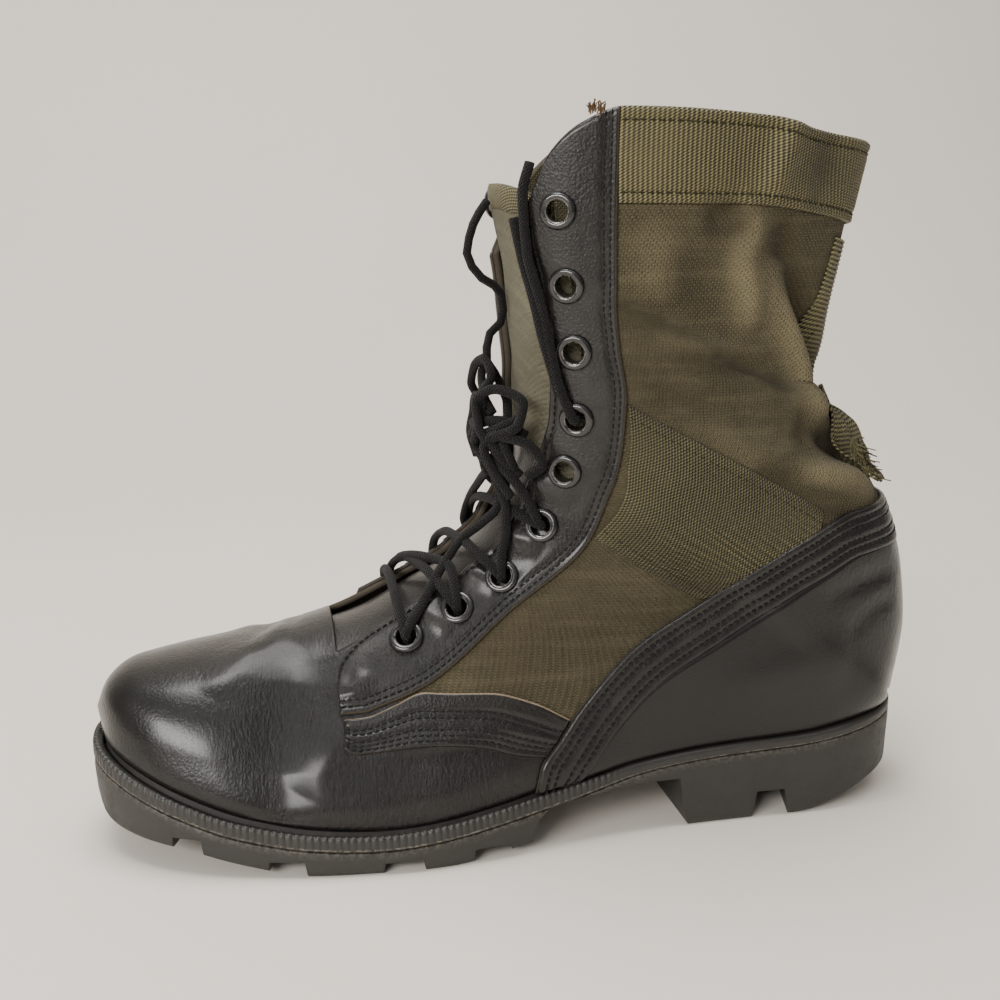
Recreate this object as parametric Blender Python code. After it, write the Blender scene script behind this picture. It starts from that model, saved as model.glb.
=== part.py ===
"""Left jungle boot: leather foot, canvas shaft, moulded lug sole.

Metres, +Z up, toe towards -X, heel towards +X, outer (lateral) side towards -Y.
The boot stands on z = 0. The origin is the middle of the whole boot's footprint.
"""
from collections import namedtuple

import bpy
import bmesh
import numpy as np

# Driving dimensions of the last and the shaft
LENGTH = 0.302
BALL_WIDTH = 0.106
HEEL_HEIGHT = 0.034
UPPER_RISE = 0.222

# Middle of the whole footprint, from the middle of the sole's length and from the ridge line
CENTRE_X = 0.0018
CENTRE_Y = -0.0024

# Walls and clearances
GAP = 0.0003
UPPER_WALL = 0.0022
OVERLAY_WALL = 0.0014
BAND_WALL = 0.0019
TONGUE_WALL = 0.0016
TONGUE_EASE = 0.0016
INSOLE_THICK = 0.003
INSOLE_EASE = 0.0012

# Sole
WELT_WIDTH = 0.0040
WELT_THICK = 0.0055
WELT_HEEL_THICK = 0.0038
WELT_EASE = 0.0002
WALL_DRAFT = 0.0006
TREAD_EDGE = 0.0024
RIB_PITCH = 0.0034
RIB_DEPTH = 0.0008
LUG_DEPTH = 0.0042
LUG_SLOPE = 0.0012
HEEL_CHANNEL_DEPTH = 0.0104
HEEL_CHANNEL_SLOPE = 0.0025

# Panels, straps and fittings
TONGUE_HALF_WIDTH = 0.031
COUNTER_BAND = 0.0165
BACKSTAY_WIDTH = 0.025
EYELET_BORE = 0.0036
EYELET_TUBE = 0.0005
EYELET_FLANGE = 0.0062
EYELET_SETBACK = 0.0115
EYELET_LIFT = 0.0008
EYELET_RISE = 0.0011
EYELET_CONE = 0.0002
VENT_BORE = 0.0024
LACE = 0.0036
LACE_DIP = 0.0022

TOE_X = -0.5 * LENGTH

# Plan of the outsole: share of length from the toe, half widths in shares of the ball width
PlanRow = namedtuple("PlanRow", "along lateral medial")
PLAN = (
    PlanRow(0.00, 0.360, 0.400),
    PlanRow(0.10, 0.415, 0.435),
    PlanRow(0.20, 0.475, 0.465),
    PlanRow(0.28, 0.510, 0.475),
    PlanRow(0.36, 0.520, 0.445),
    PlanRow(0.45, 0.490, 0.375),
    PlanRow(0.55, 0.420, 0.315),
    PlanRow(0.65, 0.375, 0.295),
    PlanRow(0.75, 0.355, 0.310),
    PlanRow(0.85, 0.345, 0.330),
    PlanRow(1.00, 0.345, 0.330),
)
TOE_ROUND = 0.17
TOE_POWER = 2.35
HEEL_ROUND = 0.155
HEEL_POWER = 2.3

# Side view of the sole: heights in shares of the heel height.
# seat is the feather line where the upper meets the sole, tread is the lower edge of the side wall.
SideRow = namedtuple("SideRow", "along seat tread")
SIDE = (
    SideRow(0.000, 1.13, 0.62),
    SideRow(0.015, 1.07, 0.38),
    SideRow(0.045, 0.95, 0.31),
    SideRow(0.100, 0.76, 0.25),
    SideRow(0.170, 0.57, 0.11),
    SideRow(0.240, 0.46, 0.00),
    SideRow(0.320, 0.42, 0.00),
    SideRow(0.400, 0.47, 0.00),
    SideRow(0.470, 0.56, 0.07),
    SideRow(0.550, 0.66, 0.12),
    SideRow(0.640, 0.80, 0.00),
    SideRow(0.740, 0.88, 0.00),
    SideRow(0.840, 0.92, 0.00),
    SideRow(0.900, 0.98, 0.12),
    SideRow(0.960, 1.05, 0.28),
    SideRow(1.000, 1.09, 0.34),
)

# Sections of the upper. Each runs from the front line over the toe, instep and shin to the
# feather line or, from the heel on, to the back line. Front places in shares of length, back
# places in shares of the upper's own plan, rises above the feather line in shares of the
# upper's rise, ridge and half widths in shares of the ball width. The half widths stand at
# the shares of turn in TURNS.
TURNS = (0.0, 0.15, 0.30, 0.45, 0.60, 0.80, 1.0)
Section = namedtuple("Section", "front rise back back_rise ridge lateral medial")
SECTIONS = (
    Section(0.0066, 0.041, 0.0000, None, 0.00, (.14, .235, .29, .31, .325), (.14, .245, .31, .345, .36)),
    Section(0.0180, 0.083, 0.0069, None, 0.00, (.14, .24, .30, .325, .34), (.14, .25, .32, .355, .375)),
    Section(0.0440, 0.128, 0.0306, None, 0.01, (.14, .245, .305, .335, .35), (.145, .255, .325, .365, .385)),
    Section(0.0800, 0.160, 0.0687, None, 0.02, (.145, .255, .32, .355, .375), (.145, .26, .335, .38, .405)),
    Section(0.1330, 0.198, 0.1230, None, 0.03, (.15, .265, .34, .38, .405), (.15, .265, .35, .395, .425)),
    Section(0.2050, 0.240, 0.1970, None, 0.05, (.155, .275, .36, .41, .45), (.15, .27, .355, .405, .435)),
    Section(0.2840, 0.277, 0.2760, None, 0.06, (.155, .285, .38, .445, .485), (.155, .27, .35, .405, .44)),
    Section(0.3490, 0.318, 0.3720, None, 0.06, (.16, .29, .385, .45, .49), (.16, .265, .335, .385, .415)),
    Section(0.4150, 0.356, 0.4800, None, 0.06, (.165, .29, .375, .425, .45), (.16, .26, .32, .365, .37)),
    Section(0.4640, 0.403, 0.6030, None, 0.05, (.175, .285, .36, .39, .39), (.17, .265, .315, .345, .34)),
    Section(0.4900, 0.457, 0.7410, None, 0.04, (.19, .285, .345, .365, .345), (.185, .275, .325, .34, .32)),
    Section(0.4980, 0.514, 0.8750, None, 0.03, (.20, .29, .34, .35, .33), (.20, .29, .335, .34, .32)),
    Section(0.4980, 0.559, 0.9670, None, 0.02, (.205, .30, .34, .34, .32), (.205, .30, .34, .34, .315)),
    Section(0.4970, 0.599, 1.0000, None, 0.01, (.21, .31, .345, .34, .30), (.21, .31, .345, .34, .30)),
    Section(0.4950, 0.635, 1.0136, .036, 0.01, (.21, .31, .35, .34, .27), (.21, .31, .35, .34, .27)),
    Section(0.4935, 0.671, 1.0240, .126, 0.00, (.21, .315, .355, .34, .255), (.21, .315, .355, .34, .255)),
    Section(0.4900, 0.712, 1.0167, .225, 0.00, (.21, .32, .36, .335, .245), (.21, .32, .36, .335, .245)),
    Section(0.4870, 0.752, 0.9920, .333, 0.00, (.21, .32, .36, .33, .225), (.21, .32, .36, .33, .225)),
    Section(0.4835, 0.793, 0.9694, .396, 0.00, (.205, .32, .36, .325, .20), (.205, .32, .36, .325, .20)),
    Section(0.4790, 0.833, 0.9420, .468, 0.00, (.20, .32, .36, .32, .19), (.20, .32, .36, .32, .19)),
    Section(0.4740, 0.878, 0.8935, .541, 0.00, (.20, .32, .36, .32, .18), (.20, .32, .36, .32, .18)),
    Section(0.4690, 0.937, 0.9007, .653, 0.00, (.20, .325, .365, .32, .185), (.20, .325, .365, .32, .185)),
    Section(0.4670, 1.005, 0.9212, .793, 0.00, (.20, .33, .375, .33, .20), (.20, .33, .375, .33, .20)),
    Section(0.4660, 1.081, 0.9582, 1.014, 0.00, (.20, .34, .385, .35, .215), (.20, .34, .385, .35, .215)),
)
LAST_FEATHER = 13
THROAT = 6
TOP = len(SECTIONS) - 1

# Half width of the throat opening at its foot and up the shaft, shares of the ball width
ThroatRow = namedtuple("ThroatRow", "section lateral medial")
THROAT_GAPS = (
    ThroatRow(6, 0.230, 0.150),
    ThroatRow(7, 0.205, 0.150),
    ThroatRow(8, 0.190, 0.150),
    ThroatRow(10, 0.190, 0.150),
    ThroatRow(14, 0.235, 0.160),
    ThroatRow(TOP, 0.245, 0.170),
)

# Top line of the shaft in side view: share of length, height over the heel seat in shares of rise
CollarRow = namedtuple("CollarRow", "along lateral medial")
COLLAR = (
    CollarRow(0.480, 0.780, 0.740),
    CollarRow(0.508, 0.855, 0.800),
    CollarRow(0.526, 0.920, 0.850),
    CollarRow(0.559, 0.965, 0.910),
    CollarRow(0.602, 0.987, 0.950),
    CollarRow(0.772, 0.977, 0.970),
    CollarRow(0.831, 0.960, 0.960),
    CollarRow(0.960, 0.941, 0.941),
)

# Where sections are cut for the faceted solids
FOOT_STEPS = (0, 0.08, 0.35, 1, 1.7, 2.5, 3.6, 4.8)
SHAFT_STEPS = (6, 6.8, 7.7, 8.6, 9.5, 10.4, 11.3, 12, 12.5, 12.82, 13, 13.35, 13.9, 14.7, 15.6, 16.5, 17.4,
               18.3, 19.1, 19.9, 20.7, 21.6, 23)
THROAT_STEPS = (0.0, 0.5)
WALL_STEPS = (0.0, 0.12, 0.25, 0.38, 0.51, 0.64, 0.76, 0.86, 0.94, 1.0)

SOLE_STATIONS = 34
TONGUE_STEPS = (5.4, 6.2, 7, 8, 9, 10, 11, 12, 13, 14.5, 16, 17.5, 19, 20.2, 21.15)

# Hollow under the waist in side view: share of length, height in shares of the heel height
ArchRow = namedtuple("ArchRow", "along height")
ARCH = (
    ArchRow(0.492, -0.30),
    ArchRow(0.502, 0.26),
    ArchRow(0.517, 0.43),
    ArchRow(0.580, 0.52),
    ArchRow(0.626, 0.565),
    ArchRow(0.687, 0.555),
    ArchRow(0.692, 0.20),
    ArchRow(0.712, -0.30),
)

# Grooves of the tread: middle at the side wall, groove width in shares of length, start and
# end from the middle line in shares of the ball width, slant of the groove
Channel = namedtuple("Channel", "along width start end slant heel")
CHANNELS = (
    Channel(0.085, 0.036, 0.06, 0.62, -0.30, False),
    Channel(0.200, 0.042, 0.06, 0.62, -0.35, False),
    Channel(0.334, 0.044, 0.06, 0.62, -0.35, False),
    Channel(0.436, 0.040, 0.06, 0.62, -0.30, False),
    Channel(0.792, 0.036, 0.10, 0.50, -0.25, True),
)
RIB_END = 0.52

# Lines on the side of the boot: share of length from the toe, height in shares of the boot's
# height over the heel seat and the heel together
SHAFT_HEIGHT = HEEL_HEIGHT + UPPER_RISE
EdgeRow = namedtuple("EdgeRow", "along height")
FACING_FRONT = EdgeRow(0.287, 0.200)
FACING_REAR = (
    EdgeRow(0.314, 0.202),
    EdgeRow(0.380, 0.231),
    EdgeRow(0.484, 0.322),
    EdgeRow(0.579, 0.418),
    EdgeRow(0.598, 0.475),
    EdgeRow(0.612, 0.545),
    EdgeRow(0.614, 0.613),
    EdgeRow(0.605, 0.680),
    EdgeRow(0.599, 0.746),
    EdgeRow(0.597, 0.867),
    EdgeRow(0.598, 1.060),
)
WING_TOP = (
    EdgeRow(0.288, 0.194),
    EdgeRow(0.314, 0.197),
    EdgeRow(0.345, 0.210),
    EdgeRow(0.380, 0.225),
    EdgeRow(0.400, 0.2235),
    EdgeRow(0.455, 0.2215),
    EdgeRow(0.504, 0.206),
    EdgeRow(0.5475, 0.178),
)
WING_LOW = (
    EdgeRow(0.285, 0.163),
    EdgeRow(0.297, 0.154),
    EdgeRow(0.379, 0.160),
    EdgeRow(0.439, 0.153),
    EdgeRow(0.483, 0.138),
    EdgeRow(0.516, 0.131),
)
COUNTER_TOP = (
    EdgeRow(0.500, 0.040),
    EdgeRow(0.504, 0.085),
    EdgeRow(0.510, 0.118),
    EdgeRow(0.532, 0.150),
    EdgeRow(0.561, 0.194),
    EdgeRow(0.622, 0.266),
    EdgeRow(0.710, 0.329),
    EdgeRow(0.752, 0.358),
    EdgeRow(0.831, 0.410),
    EdgeRow(0.899, 0.443),
    EdgeRow(0.974, 0.451),
    EdgeRow(1.060, 0.453),
)
WEBBING_TOP = (
    EdgeRow(0.616, 0.606),
    EdgeRow(0.698, 0.553),
    EdgeRow(0.804, 0.487),
    EdgeRow(0.860, 0.450),
)
WEBBING_LOW = (
    EdgeRow(0.584, 0.421),
    EdgeRow(0.649, 0.371),
    EdgeRow(0.706, 0.332),
)
CUFF_LINE = (
    EdgeRow(0.590, 0.869),
    EdgeRow(0.747, 0.868),
    EdgeRow(0.849, 0.855),
    EdgeRow(0.910, 0.842),
    EdgeRow(0.980, 0.830),
    EdgeRow(1.060, 0.820),
)
BACKSTAY_FOOT = EdgeRow(0.780, 0.590)

# Sections of the upper that hold an eyelet on each side, and the two drain eyelets of the arch
EYELETS = (7.16, 8.0, 8.87, 10.18, 12.02, 14.5, 16.73, 19.16, 21.04)
VentRow = namedtuple("VentRow", "section turn")
VENTS = (VentRow(7.15, 0.82), VentRow(7.75, 0.82))
ROUND_STEPS = 8

# Path of the lace over the upper: section, turn from the ridge (lateral is negative), lift
LaceRow = namedtuple("LaceRow", "section turn lift")
LACED = 4
BOW = (
    LaceRow(20.7, -0.020, -0.0014),
    LaceRow(20.2, -0.025, 0.0050),
    LaceRow(19.3, -0.030, 0.0092),
    LaceRow(18.3, -0.030, 0.0055),
    LaceRow(17.6, -0.022, -0.0012),
    LaceRow(16.6, -0.022, -0.0012),
    LaceRow(16.0, -0.030, 0.0050),
    LaceRow(15.2, -0.035, 0.0075),
    LaceRow(14.2, -0.035, 0.0035),
    LaceRow(13.0, -0.050, 0.0015),
    LaceRow(11.9, -0.085, 0.0040),
    LaceRow(11.0, -0.080, 0.0050),
    LaceRow(10.7, 0.000, 0.0075),
    LaceRow(11.2, 0.070, 0.0090),
    LaceRow(12.2, 0.060, 0.0090),
    LaceRow(12.5, -0.040, 0.0085),
    LaceRow(11.9, -0.110, 0.0095),
    LaceRow(11.1, -0.135, 0.0070),
)
END_SIDE = (
    LaceRow(15.0, -0.205, 0.0033),
    LaceRow(15.9, -0.198, 0.0045),
    LaceRow(17.0, -0.190, 0.0055),
    LaceRow(18.2, -0.182, 0.0045),
    LaceRow(19.4, -0.175, 0.0034),
    LaceRow(20.6, -0.165, 0.0033),
)

COLOURS = {
    "leather": ((0.012, 0.011, 0.010, 1.0), 0.34, 0.0),
    "canvas": ((0.115, 0.105, 0.062, 1.0), 0.88, 0.0),
    "webbing": ((0.135, 0.125, 0.050, 1.0), 0.72, 0.0),
    "rubber": ((0.030, 0.028, 0.026, 1.0), 0.62, 0.0),
    "insole": ((0.060, 0.052, 0.042, 1.0), 0.80, 0.0),
    "eyelet": ((0.012, 0.012, 0.012, 1.0), 0.25, 1.0),
    "lace": ((0.010, 0.010, 0.010, 1.0), 0.90, 0.0),
}


def clear_scene():
    """Remove whatever the open file holds."""
    for thing in list(bpy.data.objects):
        bpy.data.objects.remove(thing)


def curve(knots, values, at):
    """Smooth curve through the knots that keeps rises and falls where the values have them.

    values may hold one number per knot, or one array per knot of the shape of at.
    """
    knots = np.asarray(knots, float)
    values = np.asarray(values, float)
    at = np.clip(np.asarray(at, float), knots[0], knots[-1])
    if values.ndim == 1:
        values = values.reshape((-1,) + (1,) * at.ndim)
    values = np.broadcast_to(values, (len(knots),) + at.shape)
    steps = np.diff(knots).reshape((-1,) + (1,) * at.ndim)
    slopes = np.diff(values, axis=0) / steps
    before, after = slopes[:-1], slopes[1:]
    weight_a = 2 * steps[1:] + steps[:-1]
    weight_b = steps[1:] + 2 * steps[:-1]
    same_way = before * after > 0
    safe_a = np.where(same_way, before, 1.0)
    safe_b = np.where(same_way, after, 1.0)
    inner = np.where(same_way, (weight_a + weight_b) / (weight_a / safe_a + weight_b / safe_b), 0.0)
    tangents = np.concatenate([slopes[:1], inner, slopes[-1:]])
    span = np.clip(np.searchsorted(knots, at, side="right") - 1, 0, len(knots) - 2)
    width = knots[span + 1] - knots[span]
    t = (at - knots[span]) / width

    def pick(table, index):
        return np.take_along_axis(table, index[None], axis=0)[0]

    start, end = pick(values, span), pick(values, span + 1)
    leave, arrive = pick(tangents, span), pick(tangents, span + 1)
    return ((1 + 2 * t) * (1 - t) ** 2 * start + t * (1 - t) ** 2 * width * leave
            + t * t * (3 - 2 * t) * end + t * t * (t - 1) * width * arrive)


def column(table, name):
    return [getattr(row, name) for row in table]


def roundness(along):
    """Closing of the plan at the toe and at the heel, 0 at the tips and 1 between."""
    toe = np.clip(1 - along / TOE_ROUND, 0, 1)
    heel = np.clip(1 - (1 - along) / HEEL_ROUND, 0, 1)
    toe_close = (1 - toe ** TOE_POWER) ** (1 / TOE_POWER)
    return toe_close * (1 - heel ** HEEL_POWER) ** (1 / HEEL_POWER)


def half_width(x, side, inset):
    """Half width of the sole's plan, set in by inset all round. side is -1 lateral, 1 medial."""
    along = np.clip((np.asarray(x, float) - TOE_X - inset) / (LENGTH - 2 * inset), 0, 1)
    shares = curve(column(PLAN, "along"), column(PLAN, "lateral" if side < 0 else "medial"), along)
    return (shares * BALL_WIDTH - inset) * roundness(along)


def side_height(x, name, inset):
    """Height of the seat or tread line over the floor at x, for a plan set in by inset."""
    along = (np.asarray(x, float) - TOE_X - inset) / (LENGTH - 2 * inset)
    return curve(column(SIDE, "along"), column(SIDE, name), along) * HEEL_HEIGHT


def section_lines(p):
    """Front point, back point and ridge shift of section p, which may be a fraction."""
    rows = np.arange(len(SECTIONS))
    front_x = TOE_X + curve(rows, column(SECTIONS, "front"), p) * LENGTH
    front_z = side_height(front_x, "seat", WELT_WIDTH) + curve(rows, column(SECTIONS, "rise"), p) * UPPER_RISE
    back_x = TOE_X + WELT_WIDTH + curve(rows, column(SECTIONS, "back"), p) * (LENGTH - 2 * WELT_WIDTH)
    rises = [0.0 if row.back_rise is None else row.back_rise for row in SECTIONS]
    back_z = side_height(back_x, "seat", WELT_WIDTH) + GAP + curve(rows, rises, p) * UPPER_RISE
    ridge = curve(rows, column(SECTIONS, "ridge"), p) * BALL_WIDTH
    return front_x, front_z, back_x, back_z, ridge


def section_width(p, turn, side):
    """Half width of the upper's form at section p and turn, from the ridge line."""
    rows = np.arange(len(SECTIONS))
    table = np.array(column(SECTIONS, "lateral" if side < 0 else "medial"))
    back_x = section_lines(p)[2]
    along = np.clip((back_x - TOE_X - WELT_WIDTH) / (LENGTH - 2 * WELT_WIDTH), 0, 0.5)
    closing = roundness(along)
    widths = [np.zeros_like(p)]
    for share in table.T:
        widths.append(curve(rows, share, p) * BALL_WIDTH * closing)
    at_seat = np.where(p < LAST_FEATHER, half_width(back_x, side, WELT_WIDTH), 0.0)
    widths.append(at_seat)
    return curve(TURNS, np.array(widths), turn)


def form(p, turn, side):
    """Point on the upper's outer form. turn runs from 0 on the front line to 1 at the seat."""
    p, turn = np.broadcast_arrays(np.asarray(p, float), np.asarray(turn, float))
    front_x, front_z, back_x, back_z, ridge = section_lines(p)
    share = np.sin(0.5 * np.pi * turn) ** 2
    x = front_x + (back_x - front_x) * share
    z = front_z + (back_z - front_z) * share
    y = ridge * (1 - share) + side * section_width(p, turn, side)
    return np.stack([x, y, z], axis=-1)


def turn_at_width(p, width, side):
    """Turn at which the form is width away from its ridge, near the front line."""
    low, high = np.zeros_like(p), np.full_like(p, 0.45)
    for _ in range(40):
        middle = 0.5 * (low + high)
        inside = section_width(p, middle, side) < width
        low = np.where(inside, middle, low)
        high = np.where(inside, high, middle)
    return 0.5 * (low + high)


def throat_turn(p, side):
    """Turn of the throat's edge at section p. Over the toe it keeps the value of the foot."""
    at = np.maximum(np.asarray(p, float), THROAT)
    shares = curve(column(THROAT_GAPS, "section"),
                   column(THROAT_GAPS, "lateral" if side < 0 else "medial"), at)
    return turn_at_width(at, shares * BALL_WIDTH, side)


def collar_height(x, side):
    along = (np.asarray(x, float) - TOE_X) / LENGTH
    rise = curve(column(COLLAR, "along"), column(COLLAR, "lateral" if side < 0 else "medial"), along)
    return HEEL_HEIGHT + rise * UPPER_RISE


def collar_section(turn, side):
    """Section number at which the form meets the collar line, for each turn."""
    low, high = np.full_like(turn, 17.0), np.full_like(turn, float(TOP))
    for _ in range(40):
        middle = 0.5 * (low + high)
        point = form(middle, turn, side)
        under = point[..., 2] < collar_height(point[..., 0], side)
        low = np.where(under, middle, low)
        high = np.where(under, high, middle)
    return 0.5 * (low + high)


def form_grid(side):
    """Points of one side of the form up to the collar, rows of sections by columns of turns."""
    sections = np.array(FOOT_STEPS + SHAFT_STEPS, float)
    edge = throat_turn(sections, side)
    turns = [edge * share for share in THROAT_STEPS]
    turns += [edge + (1 - edge) * share for share in WALL_STEPS]
    turns = np.array(turns).T
    sections = np.repeat(sections[:, None], turns.shape[1], axis=1)
    start = 15.0
    top = collar_section(turns[-1], side)
    stretch = (top[None] - start) / (TOP - start)
    sections = np.where(sections > start, start + (sections - start) * stretch, sections)
    turns = np.where(sections > THROAT, throat_shift(sections, turns, side), turns)
    return form(sections, turns, side)


def throat_shift(sections, turns, side):
    """Keep the column at the throat's edge on that edge after the sections were moved."""
    edge = throat_turn(sections, side)
    first = len(THROAT_STEPS)
    old_edge = turns[:, first:first + 1]
    over = (turns - old_edge) / (1 - old_edge)
    return np.where(over >= 0, edge + (1 - edge) * over, edge * turns / old_edge)


def material(slot):
    existing = bpy.data.materials.get(slot)
    if existing:
        return existing
    colour, roughness, metallic = COLOURS[slot]
    made = bpy.data.materials.new(slot)
    made.use_nodes = True
    shader = made.node_tree.nodes["Principled BSDF"]
    shader.inputs["Base Color"].default_value = colour
    shader.inputs["Roughness"].default_value = roughness
    shader.inputs["Metallic"].default_value = metallic
    made.diffuse_color = colour
    return made


def make_object(name, mesh, slot):
    mesh.materials.append(material(slot))
    mesh.shade_smooth()
    mesh.set_sharp_from_angle(angle=0.7)
    made = bpy.data.objects.new(name, mesh)
    bpy.context.scene.collection.objects.link(made)
    return made


def mesh_from(name, points, faces):
    """Closed mesh with its faces turned outwards."""
    mesh = bpy.data.meshes.new(name)
    mesh.from_pydata([tuple(point) for point in points], [], [tuple(face) for face in faces])
    work = bmesh.new()
    work.from_mesh(mesh)
    bmesh.ops.remove_doubles(work, verts=work.verts, dist=1e-6)
    bmesh.ops.recalc_face_normals(work, faces=work.faces)
    work.to_mesh(mesh)
    work.free()
    mesh.update()
    return mesh


def upper_faces():
    """Whole form as one sheet: welded points and faces, each with its row and column.

    Columns run from the medial seat over the ridge to the lateral seat.
    """
    medial, lateral = form_grid(1), form_grid(-1)
    grid = np.concatenate([medial[:, ::-1], lateral[:, 1:]], axis=1)
    rows, columns = grid.shape[:2]
    ids = np.arange(rows * columns).reshape(rows, columns)
    half = medial.shape[1]
    for column_index in range(columns):
        mirror = 2 * (half - 1) - column_index
        ids[0, column_index] = min(column_index, mirror)
    feather_rows = len(FOOT_STEPS) + SHAFT_STEPS.index(LAST_FEATHER)
    ids[feather_rows:, -1] = ids[feather_rows:, 0]
    return grid, ids


def halved(points, face, from_first=None):
    """A face as triangles, cut along its shorter diagonal unless the first corner is named.

    At the toe's middle line, where both sides share points, the cut runs away from the ridge.
    """
    a, b, c, d = face
    if from_first is None:
        from_first = np.linalg.norm(points[a] - points[c]) <= np.linalg.norm(points[b] - points[d])
    if from_first:
        return [(a, b, c), (a, c, d)]
    return [(a, b, d), (b, c, d)]


def sheet_normals(points, faces):
    """Outward unit normal at each point, from the triangles around it."""
    normals = np.zeros_like(points)
    for face in faces:
        a, b, c = (points[index] for index in face)
        normal = np.cross(c - a, b - a)
        for index in face:
            normals[index] += normal
    sizes = np.linalg.norm(normals, axis=1, keepdims=True)
    return normals / np.where(sizes > 0, sizes, 1.0)


def form_sheet():
    """The form's points, normals, kept faces and the points on its seat line."""
    grid, ids = upper_faces()
    rows, columns = ids.shape
    points = grid.reshape(-1, 3)
    half = (columns + 1) // 2 - 1
    first_open = len(FOOT_STEPS)
    faces, open_faces = [], []
    for row in range(rows - 1):
        for col in range(columns - 1):
            face = (ids[row, col], ids[row + 1, col], ids[row + 1, col + 1], ids[row, col + 1])
            from_ridge = col - half if col >= half else half - 1 - col
            in_throat = row >= first_open and from_ridge < len(THROAT_STEPS)
            kept = open_faces if in_throat else faces
            kept.extend(halved(points, face, None if row else col >= half))
    normals = sheet_normals(points, faces + open_faces)
    seat_rows = len(FOOT_STEPS) + SHAFT_STEPS.index(LAST_FEATHER)
    seat = set(ids[:seat_rows + 1, 0]) | set(ids[:seat_rows + 1, -1])
    return points, normals, faces, open_faces, seat


def shell(name, points, normals, faces, inner, outer, seat=()):
    """Closed wall between two offsets of a sheet. Points on the seat keep their height."""
    used = sorted({index for face in faces for index in face})
    place = {index: number for number, index in enumerate(used)}
    count = len(used)
    base, lean = points[used], normals[used]
    walls = []
    for offset in (outer, inner):
        moved = base + lean * offset
        for index in seat:
            if index in place:
                number = place[index]
                flat = lean[number] * (1, 1, 0)
                moved[number] = base[number] + flat / np.linalg.norm(flat) * offset
        walls.append(moved)
    skins = []
    edges = {}
    for face in faces:
        corners = [place[index] for index in face]
        skins.append(corners)
        skins.append([corner + count for corner in reversed(corners)])
        for a, b in zip(corners, corners[1:] + corners[:1]):
            edges[(a, b)] = edges.get((a, b), 0) + 1
    for a, b in edges:
        if (b, a) not in edges:
            skins.append((b, a, a + count, b + count))
    return mesh_from(name, np.concatenate(walls), skins)


def make_upper(sheet):
    points, normals, faces, _, seat = sheet
    return make_object("upper", shell("upper", points, normals, faces, -UPPER_WALL, 0.0, seat), "leather")


def sole_stations(inset, count):
    """Places along the sole, close together at the round ends."""
    turn = np.linspace(0, np.pi, count)
    share = 0.55 * 0.5 * (1 - np.cos(turn)) + 0.45 * np.linspace(0, 1, count)
    return TOE_X + inset + share * (LENGTH - 2 * inset)


def plan_ring(inset, count):
    """Closed loop of plan points: lateral side from toe to heel, then medial side back."""
    x = sole_stations(inset, count)
    lateral = np.stack([x, -half_width(x, -1, inset)], axis=-1)
    medial = np.stack([x, half_width(x, 1, inset)], axis=-1)
    return np.concatenate([lateral, medial[-2:0:-1]])


def ladder(first, count):
    """Faces across a plan ring whose points start at number first."""
    ring = 2 * count - 2
    faces = [(first, first + 1, first + ring - 1)]
    for i in range(1, count - 2):
        faces.append((first + i, first + i + 1, first + ring - i - 1, first + ring - i))
    faces.append((first + count - 2, first + count - 1, first + count))
    return faces


def ring_walls(rings, count):
    """Closed body through plan rings of equal size, with a ladder over the first and last."""
    size = 2 * count - 2
    faces = [face[::-1] for face in ladder(0, count)]
    for level in range(len(rings) - 1):
        for i in range(size):
            j = (i + 1) % size
            low, high = level * size, (level + 1) * size
            faces.append((low + i, low + j, high + j, high + i))
    faces += ladder((len(rings) - 1) * size, count)
    return np.concatenate(rings), faces


def lifted(ring, heights):
    return np.column_stack([ring, heights])


def make_insole():
    inset = WELT_WIDTH + UPPER_WALL + INSOLE_EASE
    count = 24
    ring = plan_ring(inset, count)
    seat = side_height(ring[:, 0], "seat", inset)
    points, faces = ring_walls([lifted(ring, seat + INSOLE_THICK), lifted(ring, seat)], count)
    return make_object("insole", mesh_from("insole", points, faces), "insole")


def welt_thickness(x, inset):
    along = (np.asarray(x, float) - TOE_X - inset) / (LENGTH - 2 * inset)
    return curve((0, 0.52, 0.68, 1.0), (WELT_THICK, WELT_THICK, WELT_HEEL_THICK, WELT_HEEL_THICK), along)


def make_outsole():
    """Moulded sole: seat, step under the welt, side wall, rolled tread edge, cut lugs."""
    levels = []
    step = WELT_WIDTH + GAP
    edge = WALL_DRAFT + 0.7 * TREAD_EDGE
    for inset, line, under_welt, shift in (
            (step, "seat", False, -GAP),
            (step, "seat", True, -2 * GAP),
            (0.0, "seat", True, -2 * GAP),
            (WALL_DRAFT, "tread", False, TREAD_EDGE),
            (edge, "tread", False, 0.0)):
        ring = plan_ring(inset, SOLE_STATIONS)
        heights = side_height(ring[:, 0], line, inset) + shift
        if under_welt:
            heights = heights - welt_thickness(ring[:, 0], inset)
        levels.append(lifted(ring, heights))
    points, faces = ring_walls(levels, SOLE_STATIONS)
    sole = make_object("outsole", mesh_from("outsole", points, faces), "rubber")
    cuts = [arch_cut()]
    for channel in CHANNELS:
        for side in (-1, 1):
            cuts.append(channel_cut(channel, side))
    for number, cut in enumerate(cuts):
        subtract(sole, cutter("sole_cut_%02d" % number, *cut))
    return sole


def extruded(outline, low, high):
    """Points and faces of a flat outline in the side view, drawn out along Y."""
    count = len(outline)
    points = [(x, low, z) for x, z in outline] + [(x, high, z) for x, z in outline]
    faces = [tuple(range(count)), tuple(range(2 * count - 1, count - 1, -1))]
    for i in range(count):
        j = (i + 1) % count
        faces.append((i, i + count, j + count, j))
    return points, faces


def arch_cut():
    """Hollow under the waist between the forefoot tread and the heel breast."""
    outline = [(TOE_X + row.along * LENGTH, row.height * HEEL_HEIGHT) for row in ARCH]
    return extruded(outline, -BALL_WIDTH, BALL_WIDTH)


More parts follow.
